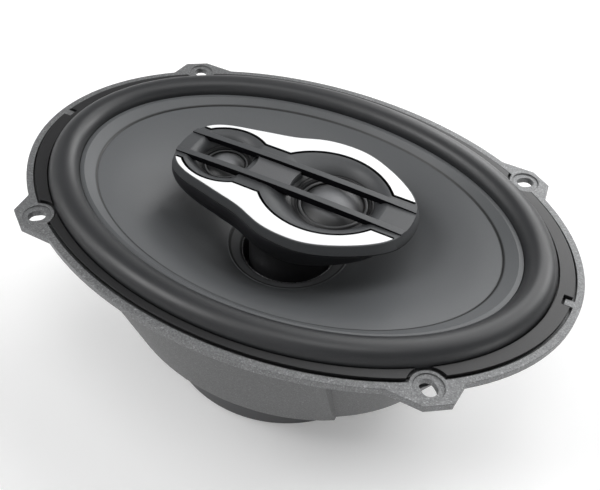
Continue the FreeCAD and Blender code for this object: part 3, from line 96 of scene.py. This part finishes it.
class Nodes:
    """Short calls for building one material's node tree."""

    def __init__(self, name):
        self.material = bpy.data.materials.new(name)
        self.material.use_nodes = True
        self.tree = self.material.node_tree
        self.tree.nodes.clear()
        self.shader = self.add("ShaderNodeBsdfPrincipled")
        output = self.add("ShaderNodeOutputMaterial")
        self.link(self.shader.outputs["BSDF"], output.inputs["Surface"])
        self.place = self.add("ShaderNodeTexCoord").outputs["Object"]

    def add(self, kind, **settings):
        node = self.tree.nodes.new(kind)
        for name, value in settings.items():
            setattr(node, name, value)
        return node

    def link(self, source, target):
        self.tree.links.new(source, target)

    def noise(self, size, detail=2.0, rough=0.5, stretch=None):
        """Noise whose grains are about size metres across."""
        node = self.add("ShaderNodeTexNoise")
        node.inputs["Scale"].default_value = 1.0 / size
        node.inputs["Detail"].default_value = detail
        node.inputs["Roughness"].default_value = rough
        place = self.place
        if stretch:
            mapping = self.add("ShaderNodeMapping")
            mapping.inputs["Scale"].default_value = stretch
            self.link(place, mapping.inputs["Vector"])
            place = mapping.outputs["Vector"]
        self.link(place, node.inputs["Vector"])
        return node.outputs["Fac"]

    def cells(self, size, feature="F1", output="Distance"):
        """Pattern of irregular cells about size metres across."""
        node = self.add("ShaderNodeTexVoronoi", feature=feature)
        node.inputs["Scale"].default_value = 1.0 / size
        self.link(self.place, node.inputs["Vector"])
        return node.outputs[output]

    def ramp(self, value, stops, interpolation="LINEAR"):
        """Colour or grey levels at positions along value."""
        node = self.add("ShaderNodeValToRGB")
        node.color_ramp.interpolation = interpolation
        elements = node.color_ramp.elements
        while len(elements) < len(stops):
            elements.new(0.5)
        for element, (position, level) in zip(elements, stops):
            element.position = position
            shade = (level,) * 3 if isinstance(level, (int, float)) else level
            element.color = (*shade, 1.0)
        self.link(value, node.inputs["Fac"])
        return node.outputs["Color"]

    def math(self, operation, first, second=0.0):
        """One step of arithmetic on numbers or sockets."""
        node = self.add("ShaderNodeMath", operation=operation)
        for socket, value in zip(node.inputs, (first, second)):
            if isinstance(value, (int, float)):
                socket.default_value = value
            else:
                self.link(value, socket)
        return node.outputs[0]

    def scaled(self, value, factor, base):
        """Value times factor, plus base."""
        result = self.math("MULTIPLY_ADD", value, factor)
        result.node.inputs[2].default_value = base
        return result

    def length(self, first, second):
        """Length of the flat vector (first, second)."""
        square = self.math("ADD", self.math("MULTIPLY", first, first), self.math("MULTIPLY", second, second))
        return self.math("SQRT", square)

    def share(self, value, start, span):
        """Share of a span that value, in metres, has covered; start and span are in millimetres."""
        return self.math("DIVIDE", self.math("SUBTRACT", value, start * MM), span * MM)

    def mix(self, factor, first, second, blend="MIX"):
        """Two colours mixed by factor."""
        node = self.add("ShaderNodeMix", data_type="RGBA", blend_type=blend)
        for socket, value in ((node.inputs[0], factor), (node.inputs[6], first), (node.inputs[7], second)):
            if isinstance(value, (int, float)):
                socket.default_value = value
            elif isinstance(value, tuple):
                socket.default_value = (*value, 1.0)
            else:
                self.link(value, socket)
        return node.outputs[2]

    def axes(self, vector=None):
        """The x, y and z of a vector, or of the point itself in object space, in metres."""
        node = self.add("ShaderNodeSeparateXYZ")
        self.link(vector or self.place, node.inputs[0])
        return node.outputs[:]

    def facing(self):
        """The x, y and z of the surface normal."""
        return self.axes(self.add("ShaderNodeNewGeometry").outputs["Normal"])

    def rounded(self, radius):
        """Surface normal as if the edges were rounded to this radius."""
        node = self.add("ShaderNodeBevel", samples=6)
        node.inputs["Radius"].default_value = radius
        return node.outputs["Normal"]

    def painted_crevice_shade(self, reach, colour, darkest=0.25):
        """Colour with painted shade: darkened where other surfaces stand close."""
        node = self.add("ShaderNodeAmbientOcclusion", samples=6)
        node.inputs["Distance"].default_value = reach
        shade = self.ramp(node.outputs["AO"], [(0.15, darkest), (0.75, 1.0)])
        return self.mix(1.0, colour, shade, "MULTIPLY")

    def bump(self, height, strength, depth, after=None):
        """Surface normal tilted by a height pattern, on top of another normal if one is given."""
        node = self.add("ShaderNodeBump")
        node.inputs["Strength"].default_value = strength
        node.inputs["Distance"].default_value = depth
        self.link(height, node.inputs["Height"])
        if after:
            self.link(after, node.inputs["Normal"])
        return node.outputs["Normal"]

    def set(self, **values):
        """Shader inputs by name, as numbers, colours or sockets."""
        for name, value in values.items():
            socket = self.shader.inputs[name.replace("_", " ")]
            if isinstance(value, (int, float)):
                socket.default_value = value
            elif isinstance(value, tuple):
                socket.default_value = (*value, 1.0)
            else:
                self.link(value, socket)
        return self.material


def grained(name, colour, roughness, grain=0.25, depth=0.03, strength=0.35, spread=0.12, edge=0.0,
            painted_crevice_shade=0.0, **more):
    """Moulded or coated surface: fine grain, slow colour drift, uneven gloss and rounded edges, with
    optional painted shade in crevices.
    """
    m = Nodes(name)
    fine = m.noise(grain * MM, 3.0, 0.6)
    slow = m.noise(14 * MM, 3.0, 0.55)
    dark = tuple(c * (1 - spread) for c in colour)
    light = tuple(min(1.0, c * (1 + spread)) for c in colour)
    tint = m.ramp(fine, [(0.35, dark), (0.65, light)])
    tint = m.mix(m.ramp(slow, [(0.3, 0.0), (0.7, 0.5)]), tint, colour)
    if painted_crevice_shade:
        # Painted shade: colour darkened in crevices, within the given reach.
        tint = m.painted_crevice_shade(painted_crevice_shade * MM, tint)
    gloss = m.scaled(slow, 0.12, roughness - 0.06)
    normal = m.bump(fine, strength, depth * MM, m.rounded(edge * MM) if edge else None)
    return m.set(Base_Color=tint, Roughness=gloss, Normal=normal, **more)


def frame_coat():
    """Textured grey coating with tiny light flakes, with painted shade darkening down the wall and in
    crevices.
    """
    m = Nodes("frame_coat")
    sand = m.noise(0.55 * MM, 2.0, 0.7)
    fine = m.noise(0.16 * MM, 2.0, 0.6)
    slow = m.noise(22 * MM, 2.0, 0.5)
    below = m.share(m.axes()[2], WALL_SHADE_TOP, -WALL_SHADE_DEPTH)
    flakes = m.ramp(m.cells(0.5 * MM, output="Color"), [(0.78, 0.0), (0.93, 1.0)])
    tint = m.ramp(sand, [(0.25, (0.085, 0.087, 0.089)), (0.5, (0.165, 0.168, 0.171)),
                         (0.8, (0.30, 0.304, 0.308))])
    tint = m.mix(m.math("MULTIPLY", flakes, 0.45), tint, (0.47, 0.475, 0.48))
    tint = m.mix(m.math("MULTIPLY", slow, 0.2), tint, (0.155, 0.158, 0.161))
    # Painted shade: colour darkened down the wall, then in crevices.
    tint = m.mix(1.0, tint, m.ramp(below, [(0.0, 1.0), (1.0, 0.58)]), "MULTIPLY")
    tint = m.painted_crevice_shade(6 * MM, tint, 0.35)
    rough = m.ramp(fine, [(0.3, 0.38), (0.7, 0.56)])
    normal = m.bump(sand, 0.30, 0.05 * MM, m.rounded(0.4 * MM))
    normal = m.bump(fine, 0.25, 0.02 * MM, normal)
    return m.set(Base_Color=tint, Roughness=rough, Metallic=0.35, Normal=normal)


def cone_sheet():
    """Satin moulded cone: fine grain, faint mottling, painted shade as a dark line along the step, and
    painted shade in crevices.
    """
    m = Nodes("cone_body")
    fine = m.noise(0.3 * MM, 3.0, 0.6)
    slow = m.noise(18 * MM, 3.0, 0.55)
    tint = m.ramp(fine, [(0.35, (0.089, 0.093, 0.097)), (0.65, (0.101, 0.106, 0.111))])
    tint = m.mix(m.math("MULTIPLY", slow, 0.4), tint, (0.094, 0.098, 0.102))
    x, y, _ = m.axes()
    reach = m.length(m.math("DIVIDE", x, STEP_HALF_LENGTH * MM), m.math("DIVIDE", y, STEP_HALF_WIDTH * MM))
    # Painted shade: a dark line along the cone's step.
    line = m.ramp(m.math("ABSOLUTE", m.math("SUBTRACT", reach, 1.0)), [(0.003, 0.03), (0.0085, 1.0)])
    tint = m.mix(1.0, tint, line, "MULTIPLY")
    # Painted shade in crevices.
    tint = m.painted_crevice_shade(14 * MM, tint, 0.25)
    return m.set(Base_Color=tint, Roughness=m.scaled(slow, 0.1, 0.38), Normal=m.bump(fine, 0.3, 0.012 * MM))


def dome_satin():
    """Satin dome film, with painted shade where the dome turns down to its rim, low down by its roll, and in
    crevices.
    """
    m = Nodes("dome_film")
    fine = m.noise(0.2 * MM, 3.0, 0.6)
    slow = m.noise(9 * MM, 3.0, 0.55)
    tint = m.ramp(fine, [(0.35, (0.175, 0.179, 0.186)), (0.65, (0.20, 0.204, 0.212))])
    # Painted shade: darker where the surface turns away from straight up.
    turned = m.ramp(m.facing()[2], [(0.70, 0.10), (0.88, 0.42), (0.985, 1.0)])
    # Painted shade: darker low down, just above the roll.
    above_roll = m.share(m.axes()[2], DOME_SHADE_BOTTOM, DOME_SHADE_HEIGHT)
    tint = m.mix(1.0, tint, m.ramp(above_roll, [(0.0, 0.35), (1.0, 1.0)]), "MULTIPLY")
    # Painted shade in crevices, over the turned-down shade.
    tint = m.painted_crevice_shade(2.0 * MM, m.mix(1.0, tint, turned, "MULTIPLY"), 0.2)
    return m.set(Base_Color=tint, Roughness=m.scaled(slow, 0.1, 0.40), Normal=m.bump(fine, 0.25, 0.01 * MM))


def outside_deck(m, x, far):
    """Distance outside the deck's outline, for a point at x and far from the long axis."""

    def outside_circle(centre_x, centre_y, radius):
        reach = m.length(m.math("SUBTRACT", x, centre_x * MM), m.math("SUBTRACT", far, centre_y * MM))
        return m.math("SUBTRACT", reach, radius * MM)

    past_waist = m.math("ABSOLUTE", m.math("SUBTRACT", x, WAIST_CENTRE_X * MM))
    waist = m.math("MAXIMUM", m.math("SUBTRACT", far, WAIST_HALF_WIDTH * MM),
                   m.math("SUBTRACT", past_waist, WAIST_HALF_LENGTH * MM))
    strip = m.math("SUBTRACT", far, STRIP_HALF_WIDTH * MM)
    circles = m.math("MINIMUM", outside_circle(*LARGE_CIRCLE), outside_circle(*SMALL_CIRCLE))
    return m.math("MINIMUM", circles, m.math("MINIMUM", waist, strip))


def pod_cover():
    """Satin black cover with painted shade: near black in the groove beside the inlays, darker low in the
    bays, near black on the rail flanks, and in crevices.
    """
    m = Nodes("pod_upper")
    fine = m.noise(0.32 * MM, 3.0, 0.6)
    slow = m.noise(14 * MM, 3.0, 0.55)
    x, y, z = m.axes()
    far = m.math("ABSOLUTE", y)
    edge = outside_deck(m, x, far)
    inside = m.math("LESS_THAN", edge, 0.02 * MM)
    # Painted shade: near-black band in the groove beside the inlays.
    painted_groove_shade = m.math("MULTIPLY", inside, m.math("GREATER_THAN", edge, -GROOVE_WIDTH * MM))
    painted_groove_shade = m.math("MULTIPLY", painted_groove_shade, m.math("LESS_THAN", m.math("ABSOLUTE", x), GROOVE_END * MM))
    # Painted shade: bays darker towards their bottoms.
    painted_bay_shade = m.ramp(m.share(z, BAY_SHADE_BOTTOM, BAY_SHADE_HEIGHT), [(0.05, 0.25), (0.45, 0.75), (0.8, 1.0)])
    # Painted shade: sideways faces of the rails near the long axis painted near black.
    sideways = m.math("GREATER_THAN", m.math("ABSOLUTE", m.facing()[1]), 0.75)
    painted_flank_shade = m.math("MULTIPLY", sideways, m.math("LESS_THAN", far, RAIL_FLANK_REACH * MM))
    tint = m.ramp(fine, [(0.35, (0.050, 0.052, 0.055)), (0.65, (0.064, 0.067, 0.071))])
    tint = m.mix(m.math("MULTIPLY", slow, 0.4), tint, (0.057, 0.060, 0.063))
    tint = m.mix(inside, tint, m.mix(1.0, tint, painted_bay_shade, "MULTIPLY"))
    tint = m.mix(painted_flank_shade, tint, (0.006, 0.006, 0.007))
    # Painted shade in crevices.
    tint = m.painted_crevice_shade(2.5 * MM, tint, 0.2)
    tint = m.mix(painted_groove_shade, tint, (0.002, 0.002, 0.002))
    open_face = m.math("SUBTRACT", 1.0, m.math("MAXIMUM", painted_groove_shade, painted_flank_shade))
    return m.set(Base_Color=tint, Roughness=m.scaled(slow, 0.12, 0.40),
                 Specular_IOR_Level=m.math("MULTIPLY", open_face, 0.5),
                 Normal=m.bump(fine, 0.3, 0.02 * MM, m.rounded(0.25 * MM)))


def collar_card():
    """Dull collar with a dark glue line at its rim, and painted shade in crevices."""
    m = Nodes("collar")
    fine = m.noise(0.3 * MM, 3.0, 0.6)
    x, y, _ = m.axes()
    reach = m.math("DIVIDE", m.length(x, y), NECK_RADIUS * MM)
    line = m.ramp(reach, [(0.955, 1.0), (0.966, 0.02)])
    tint = m.ramp(fine, [(0.35, (0.072, 0.074, 0.077)), (0.65, (0.088, 0.090, 0.094))])
    # Painted shade in crevices.
    tint = m.painted_crevice_shade(10 * MM, m.mix(1.0, tint, line, "MULTIPLY"), 0.25)
    return m.set(Base_Color=tint, Roughness=0.6, Normal=m.bump(fine, 0.3, 0.02 * MM))


def woven(name, colour, thread=0.55):
    """Impregnated cloth: crossing threads over a mottled ground."""
    m = Nodes(name)
    x, y, _ = m.axes()
    warp, weft = [m.math("SINE", m.math("MULTIPLY", axis, 2 * math.pi / (thread * MM))) for axis in (x, y)]
    weave = m.scaled(m.math("MULTIPLY", warp, weft), 0.5, 0.5)
    slow = m.noise(7 * MM, 3.0, 0.6)
    tint = m.ramp(weave, [(0.1, tuple(c * 0.45 for c in colour)), (0.8, colour)])
    tint = m.mix(m.math("MULTIPLY", slow, 0.35), tint, tuple(c * 0.7 for c in colour))
    return m.set(Base_Color=tint, Roughness=0.82, Normal=m.bump(weave, 0.7, 0.12 * MM))


def inlay_paint():
    """Satin white with a silver stipple, and painted shade: near black along the inner edge beside the
    groove.
    """
    m = Nodes("inlay")
    dots = m.ramp(m.cells(0.5 * MM), [(0.18, 1.0), (0.34, 0.0)])
    drift = m.noise(9 * MM, 2.0)
    tint = m.mix(m.math("MULTIPLY", dots, 0.30), (0.90, 0.91, 0.92), (0.72, 0.73, 0.76))
    tint = m.mix(m.math("MULTIPLY", drift, 0.12), tint, (0.95, 0.96, 0.97))
    x, y, _ = m.axes()
    # Painted shade: near black along the inner edge by the groove.
    painted_edge_shade = m.math("LESS_THAN", outside_deck(m, x, m.math("ABSOLUTE", y)), 0.12 * MM)
    tint = m.mix(painted_edge_shade, tint, (0.003, 0.003, 0.003))
    return m.set(Base_Color=tint, Roughness=0.34, Coat_Weight=0.15, Coat_Roughness=0.2,
                 Normal=m.bump(dots, 0.12, 0.02 * MM, m.rounded(0.15 * MM)))


def metal(name, colour, roughness, stretch=(1, 1, 12), edge=0.0):
    """Drawn or turned metal, with fine lines across the axis of the largest stretch."""
    m = Nodes(name)
    lines = m.noise(0.9 * MM, 3.0, 0.6, stretch)
    tint = m.ramp(lines, [(0.3, tuple(c * 0.82 for c in colour)), (0.7, colour)])
    rough = m.ramp(lines, [(0.3, roughness * 0.8), (0.7, roughness * 1.25)])
    normal = m.bump(lines, 0.12, 0.02 * MM, m.rounded(edge * MM) if edge else None)
    return m.set(Base_Color=tint, Metallic=1.0, Roughness=rough, Normal=normal)


# The crevice numbers below are the reach, in millimetres, of painted shade in crevices.
MATERIALS = {
    "frame_coat": frame_coat(),
    "gasket": grained("gasket", (0.014, 0.014, 0.015), 0.42, grain=0.5, depth=0.03, edge=0.3, painted_crevice_shade=2.0),
    "surround_rubber": grained("surround_rubber", (0.027, 0.028, 0.030), 0.38, grain=0.35, depth=0.012,
                               spread=0.12, painted_crevice_shade=3.0),
    "cone_body": cone_sheet(),
    "collar": collar_card(),
    "former": metal("former", (0.70, 0.70, 0.71), 0.3),
    "copper": metal("copper", (0.72, 0.34, 0.18), 0.35),
    "spider_cloth": woven("spider_cloth", (0.42, 0.29, 0.12)),
    "plated_steel": metal("plated_steel", (0.62, 0.62, 0.60), 0.34, edge=0.3),
    "ferrite": grained("ferrite", (0.035, 0.035, 0.038), 0.6),
    "boot_rubber": grained("boot_rubber", (0.050, 0.051, 0.054), 0.42, grain=0.4, depth=0.02, edge=0.5,
                           painted_crevice_shade=2.0),
    "black_steel": metal("black_steel", (0.05, 0.05, 0.052), 0.4, edge=0.2),
    "post_plastic": grained("post_plastic", (0.022, 0.022, 0.024), 0.45, edge=0.3),
    "pod_lower": grained("pod_lower", (0.013, 0.013, 0.015), 0.46, grain=0.3, depth=0.012, edge=0.3,
                          Specular_IOR_Level=0.3),
    "pod_upper": pod_cover(),
    "inlay": inlay_paint(),
    "badge": grained("badge", (0.098, 0.100, 0.104), 0.38, grain=0.2, depth=0.01, edge=0.25),
    "terminal_plastic": grained("terminal_plastic", (0.018, 0.018, 0.018), 0.55, edge=0.3),
    "tab_brass": metal("tab_brass", (0.72, 0.66, 0.48), 0.3, edge=0.1),
    "capacitor_sleeve": grained("capacitor_sleeve", (0.02, 0.05, 0.16), 0.3),
    "tinsel": metal("tinsel", (0.70, 0.50, 0.30), 0.4, (8, 8, 1)),
    "feed_red": grained("feed_red", (0.42, 0.02, 0.015), 0.4),
    "feed_black": grained("feed_black", (0.015, 0.015, 0.015), 0.4),
    "dome_film": dome_satin(),
    "face_ring": grained("face_ring", (0.012, 0.012, 0.013), 0.45, edge=0.1, painted_crevice_shade=1.5),
}


for entry in frame["record"]["subparts"]:
    materials = frame["nodes"][entry["node"]].data.materials
    materials.clear()
    materials.append(MATERIALS[entry["material_slot"]])


# ---------------------------------------------------------------- flexible pieces

def mesh_piece(name, points, faces, node, slot, crease=35):
    """Smooth mesh piece, in millimetres, that stands for one CAD node."""
    mesh = bpy.data.meshes.new(name)
    mesh.from_pydata([Vector(point) * MM for point in points], [], faces)
    mesh.polygons.foreach_set("use_smooth", [True] * len(mesh.polygons))
    mesh.validate()
    mesh.set_sharp_from_angle(angle=math.radians(crease))
    mesh.materials.append(MATERIALS[slot])
    thing = bpy.data.objects.new(name, mesh)
    bpy.context.scene.collection.objects.link(thing)
    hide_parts(node)
    return thing


def swept(section, half_length, half_width, steps, centre_x=0.0):
    """Points and faces of a closed section (offset, height) carried round an oval."""
    points = []
    for step in range(steps):
        angle = 2 * math.pi * step / steps
        across, along = math.cos(angle), math.sin(angle)
        out = Vector((across * half_width, along * half_length, 0)).normalized()
        base = Vector((centre_x + half_length * across, half_width * along, 0))
        points += [base + out * offset + Vector((0, 0, height)) for offset, height in section]
    count = len(section)
    faces = []
    for step in range(steps):
        here, there = step * count, (step + 1) % steps * count
        faces += [(here + index, there + index, there + (index + 1) % count, here + (index + 1) % count)
                  for index in range(count)]
    return points, faces


def arc(centre_height, rise, half, start, end, steps):
    """Points of a half-round roll: across from angle start to end, in degrees."""
    angles = [math.radians(start + (end - start) * step / steps) for step in range(steps + 1)]
    return [(half * math.cos(angle), centre_height + rise * math.sin(angle)) for angle in angles]


def flex(thing):
    """Bakes the piece's placement into its mesh."""
    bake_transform(thing)


def surround():
    """Rubber roll with its two glued flanges."""
    half_length, half_width = 100.9, 68.15
    span, skin, foot, top = 6.2, 0.8, 2.6, 8.5
    cone_glue, shelf, glue_skin = 2.14, 1.56, 0.7
    inside = span - skin
    cone_end, shelf_end, fillet = -span - 1.8, span + 2.7, 0.25
    section = [(cone_end, cone_glue), (cone_end, cone_glue - glue_skin), (-inside, cone_glue - glue_skin)]
    section += arc(foot, top - skin - foot, inside, 180, 0, 28)
    section += [(inside, shelf), (shelf_end, shelf), (shelf_end, shelf + glue_skin),
                (span + fillet, shelf + glue_skin)]
    section += arc(foot, top - foot, span, 0, 180, 36)
    section += [(-span - fillet, cone_glue)]
    steps = 320
    points, faces = swept(section, half_length, half_width, steps)
    thing = mesh_piece("surround_roll", points, faces, "surround", "surround_rubber")
    flex(thing)


def spider():
    """Corrugated cloth disc: half waves, up and down in turn, between the former and the landing."""
    inner, start, landing, outer = 20.45, 23.95, 50.0, 56.0
    low, skin = -31.0, 0.5
    wave_height, waves, wave_points = 1.6, 6, 10
    line = [(inner, 0.0)]
    for index in range(waves * wave_points + 1):
        wave = index / wave_points
        side = 1 if int(wave) % 2 == 0 else -1
        line.append((start + (landing - start) * wave / waves,
                     wave_height * side * abs(math.sin(math.pi * wave))))
    line.append((outer, 0.0))
    section = [(radius, low + skin + lift) for radius, lift in line]
    section += [(radius, low + lift) for radius, lift in reversed(line)]
    steps = 180
    points, faces = swept([(radius - inner, height) for radius, height in section], inner, inner, steps)
    thing = mesh_piece("spider_disc", points, faces, "spider", "spider_cloth", 60)
    flex(thing)


def dome(prefix, centre_x, radius, rim):
    """Dome skin, part of a ball, and its small half-roll surround across a rim of this width."""
    skin = 0.25
    hub = 0.02                  # radius of the pinhole at the crown, where the sweep would close on a point
    rings, steps = 20, 96
    rise = radius * 0.34
    ball = (radius ** 2 + rise ** 2) / (2 * rise)
    opening = math.asin(radius / ball)
    section = []
    for index in range(rings + 1):
        angle = opening * index / rings
        section.append((max(hub, ball * math.sin(angle)), DOME_PLANE + rise - ball * (1 - math.cos(angle))))
    section += [(max(hub, across - skin * 0.6), height - skin * (0.0 if index == 0 else 1.0))
                for index, (across, height) in enumerate(reversed(section))]
    points, faces = swept([(across - hub, height) for across, height in section], hub, hub, steps, centre_x)
    skin_piece = mesh_piece(f"{prefix}_dome_skin", points, faces, f"{prefix}_dome", "dome_film", 50)
    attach(skin_piece, f"{prefix}_dome_assembly")
    start, end = radius + 0.05, radius + rim * 0.6 - 0.05
    half, middle = (end - start) / 2, (start + end) / 2
    lift = half * 0.7
    upper = arc(DOME_PLANE + skin * 0.5, lift + skin * 0.5, half, 0, 180, 14)
    lower = arc(DOME_PLANE, lift - skin * 0.5, half - skin * 0.6, 180, 0, 14)
    section = [(middle + across, height) for across, height in upper + lower]
    points, faces = swept([(across - hub, height) for across, height in section], hub, hub, steps, centre_x)
    roll = mesh_piece(f"{prefix}_dome_roll", points, faces, f"{prefix}_dome_surround", "dome_film", 60)
    flex(roll)


def smooth_route(corners, bend, spacing):
    """Evenly spaced points along a route whose corners are rounded."""
    corner_points = 8
    line = [corners[0]]
    for before, corner, after in zip(corners, corners[1:], corners[2:]):
        room = min(bend, (corner - before).length * 0.45, (after - corner).length * 0.45)
        entry = corner + (before - corner).normalized() * room
        leave = corner + (after - corner).normalized() * room
        for step in range(corner_points + 1):
            share = step / corner_points
            line.append(entry * (1 - share) ** 2 + corner * 2 * share * (1 - share) + leave * share ** 2)
    line.append(corners[-1])
    even = [line[0]]
    for start, end in zip(line, line[1:]):
        count = max(1, round((end - start).length / spacing))
        even += [start.lerp(end, (step + 1) / count) for step in range(count)]
    return even


def braided(route, radius, strands, pitch):
    """Points and faces of a braid: strands wound both ways round a route."""
    sides = 6
    thread = radius * 0.34
    weave = 0.08                # how far a strand rises and falls as it crosses the others
    points, faces = [], []
    travelled = 0.0
    frames = []
    normal = Vector((0, 1, 0))
    for index, point in enumerate(route):
        ahead = route[min(index + 1, len(route) - 1)] - route[max(index - 1, 0)]
        tangent = ahead.normalized()
        normal = (normal - tangent * normal.dot(tangent)).normalized()
        frames.append((point, tangent, normal, tangent.cross(normal), travelled))
        if index + 1 < len(route):
            travelled += (route[index + 1] - point).length
    for strand in range(strands):
        turn = 1 if strand % 2 == 0 else -1
        first = len(points)
        for point, tangent, normal, binormal, distance in frames:
            angle = turn * 2 * math.pi * distance / pitch + 2 * math.pi * (strand // 2) * 2 / strands
            lift = radius - thread + weave * math.sin(angle * strands / 2) * turn
            out = normal * math.cos(angle) + binormal * math.sin(angle)
            around = binormal * math.cos(angle) - normal * math.sin(angle)
            for side in range(sides):
                swing = 2 * math.pi * side / sides
                points.append(point + out * (lift + thread * math.cos(swing))
                              + around * thread * 1.5 * math.sin(swing))
        for index in range(len(frames) - 1):
            here = first + index * sides
            for side in range(sides):
                beside = (side + 1) % sides
                faces.append((here + side, here + beside, here + sides + beside, here + sides + side))
    return points, faces


def leads():
    """Two braided tinsel leads: from the cone's back, down and out to the end wall, and on to the blades."""
    radius, strands, pitch = 0.6, 8, 3.0
    bend, spacing = 6.0, 0.25
    for name, side in (("positive", 1), ("negative", -1)):
        anchor = Vector((-44.0, -9.0 * side, -14.6))
        wall = Vector((-92.06, -5.4 * side, -17.05))
        blade = Vector((-98.7, -5.4 * side, -20.52))
        corners = [anchor, anchor + Vector((-2.0, 0, -4.5)), anchor + Vector((-9, -0.1 * side, -9.5)),
                   anchor + Vector((-19, 1.0 * side, -11.0)), wall, blade]
        points, faces = braided(smooth_route(corners, bend, spacing), radius, strands, pitch)
        thing = mesh_piece(f"lead_braid_{name}", points, faces, f"lead_wire_{name}", "tinsel")
        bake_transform(thing)


surround()
spider()
dome("large", 18.0, 12.3, 3.2)
dome("small", -30.8, 7.9, 2.3)
leads()


# ---------------------------------------------------------------- stage, light and camera

def stage_mesh(name, corners, faces, material):
    """Stage piece from corners in metres."""
    mesh = bpy.data.meshes.new(name)
    mesh.from_pydata(corners, [], faces)
    mesh.materials.append(material)
    thing = bpy.data.objects.new(name, mesh)
    bpy.context.scene.collection.objects.link(thing)
    return thing


def floor(level):
    """Pale floor at this level, in metres, with a pale wall all round it, far out."""
    m = Nodes("floor")
    drift = m.noise(0.4, 2.0)
    surface = m.set(Base_Color=m.ramp(drift, [(0.3, 0.86), (0.7, 0.88)]), Roughness=0.9,
                    Emission_Color=(1.0, 1.0, 1.0), Emission_Strength=0.20)
    radius, height, count = 5.0, 3.5, 64
    turns = [2 * math.pi * i / count for i in range(count)]
    foot = [(radius * math.cos(t), radius * math.sin(t), level) for t in turns]
    head = [(x, y, level + height) for x, y, z in foot]
    wall = [(i, (i + 1) % count, count + (i + 1) % count, count + i) for i in range(count)]
    stage_mesh("floor", foot, [tuple(range(count))], surface)
    stage_mesh("backdrop", foot + head, wall, surface)


def towards(azimuth, elevation):
    """Unit vector from the origin, for angles in radians; azimuth 0 is the -Y side and a quarter turn +X."""
    return Vector((math.sin(azimuth) * math.cos(elevation), -math.cos(azimuth) * math.cos(elevation),
                   math.sin(elevation)))


def softbox(name, azimuth, elevation, power, size=0.55, distance=1.2):
    """Round soft light aimed at the origin, with angles in degrees."""
    direction = towards(math.radians(azimuth), math.radians(elevation))
    lamp = bpy.data.lights.new(name, "AREA")
    lamp.shape = "DISK"
    lamp.size = size
    lamp.energy = power
    thing = bpy.data.objects.new(name, lamp)
    thing.location = direction * distance
    thing.rotation_euler = (-direction).to_track_quat("-Z", "Y").to_euler()
    bpy.context.scene.collection.objects.link(thing)


def world():
    """Faint even light from everywhere."""
    sky = bpy.data.worlds.new("studio")
    sky.use_nodes = True
    background = sky.node_tree.nodes["Background"]
    background.inputs["Color"].default_value = (1.0, 1.0, 1.0, 1.0)
    background.inputs["Strength"].default_value = 0.06
    bpy.context.scene.world = sky


def camera():
    """The photograph's view, as fitted to the flange, the ears and the pod."""
    azimuth, elevation, roll = (math.radians(angle) for angle in (24.84, 45.63, 3.55))
    target = Vector((15.19, -22.20, 3.0)) * MM
    distance = 0.2817
    back = towards(azimuth, elevation)
    right = (-back).cross(Vector((0, 0, 1))).normalized()
    up = back.cross(right)
    tilted_right = right * math.cos(roll) + up * math.sin(roll)
    tilted_up = up * math.cos(roll) - right * math.sin(roll)
    lens = bpy.data.cameras.new("camera")
    lens.sensor_width = 36.0
    lens.lens = 44.65
    lens.clip_start = 0.01
    lens.clip_end = 50.0
    thing = bpy.data.objects.new("camera", lens)
    turn = Matrix((tilted_right, tilted_up, back)).transposed()
    thing.matrix_world = Matrix.Translation(target + back * distance) @ turn.to_4x4()
    bpy.context.scene.collection.objects.link(thing)
    bpy.context.scene.camera = thing


FLOOR_GAP = 0.2             # below the CAD's lowest point
floor(cad_box[0][2] - FLOOR_GAP * MM)
world()
camera()
softbox("top", 0, 85, 2.4)
softbox("back_top", 166, 47, 3.2, size=0.75, distance=0.8)
softbox("right_back", 145, 28, 2.9)
softbox("left_high", 305, 50, 5.0)
softbox("left", 290, 24, 1.4)
softbox("right", 120, 50, 1.2)
softbox("back", 180, 25, 2.2)
softbox("front", 0, 45, 0.5)
softbox("right_low", 82, 8, 1.0, size=0.35)
softbox("back_low", 180, 8, 0.9)
bpy.context.scene.view_settings.view_transform = "Standard"
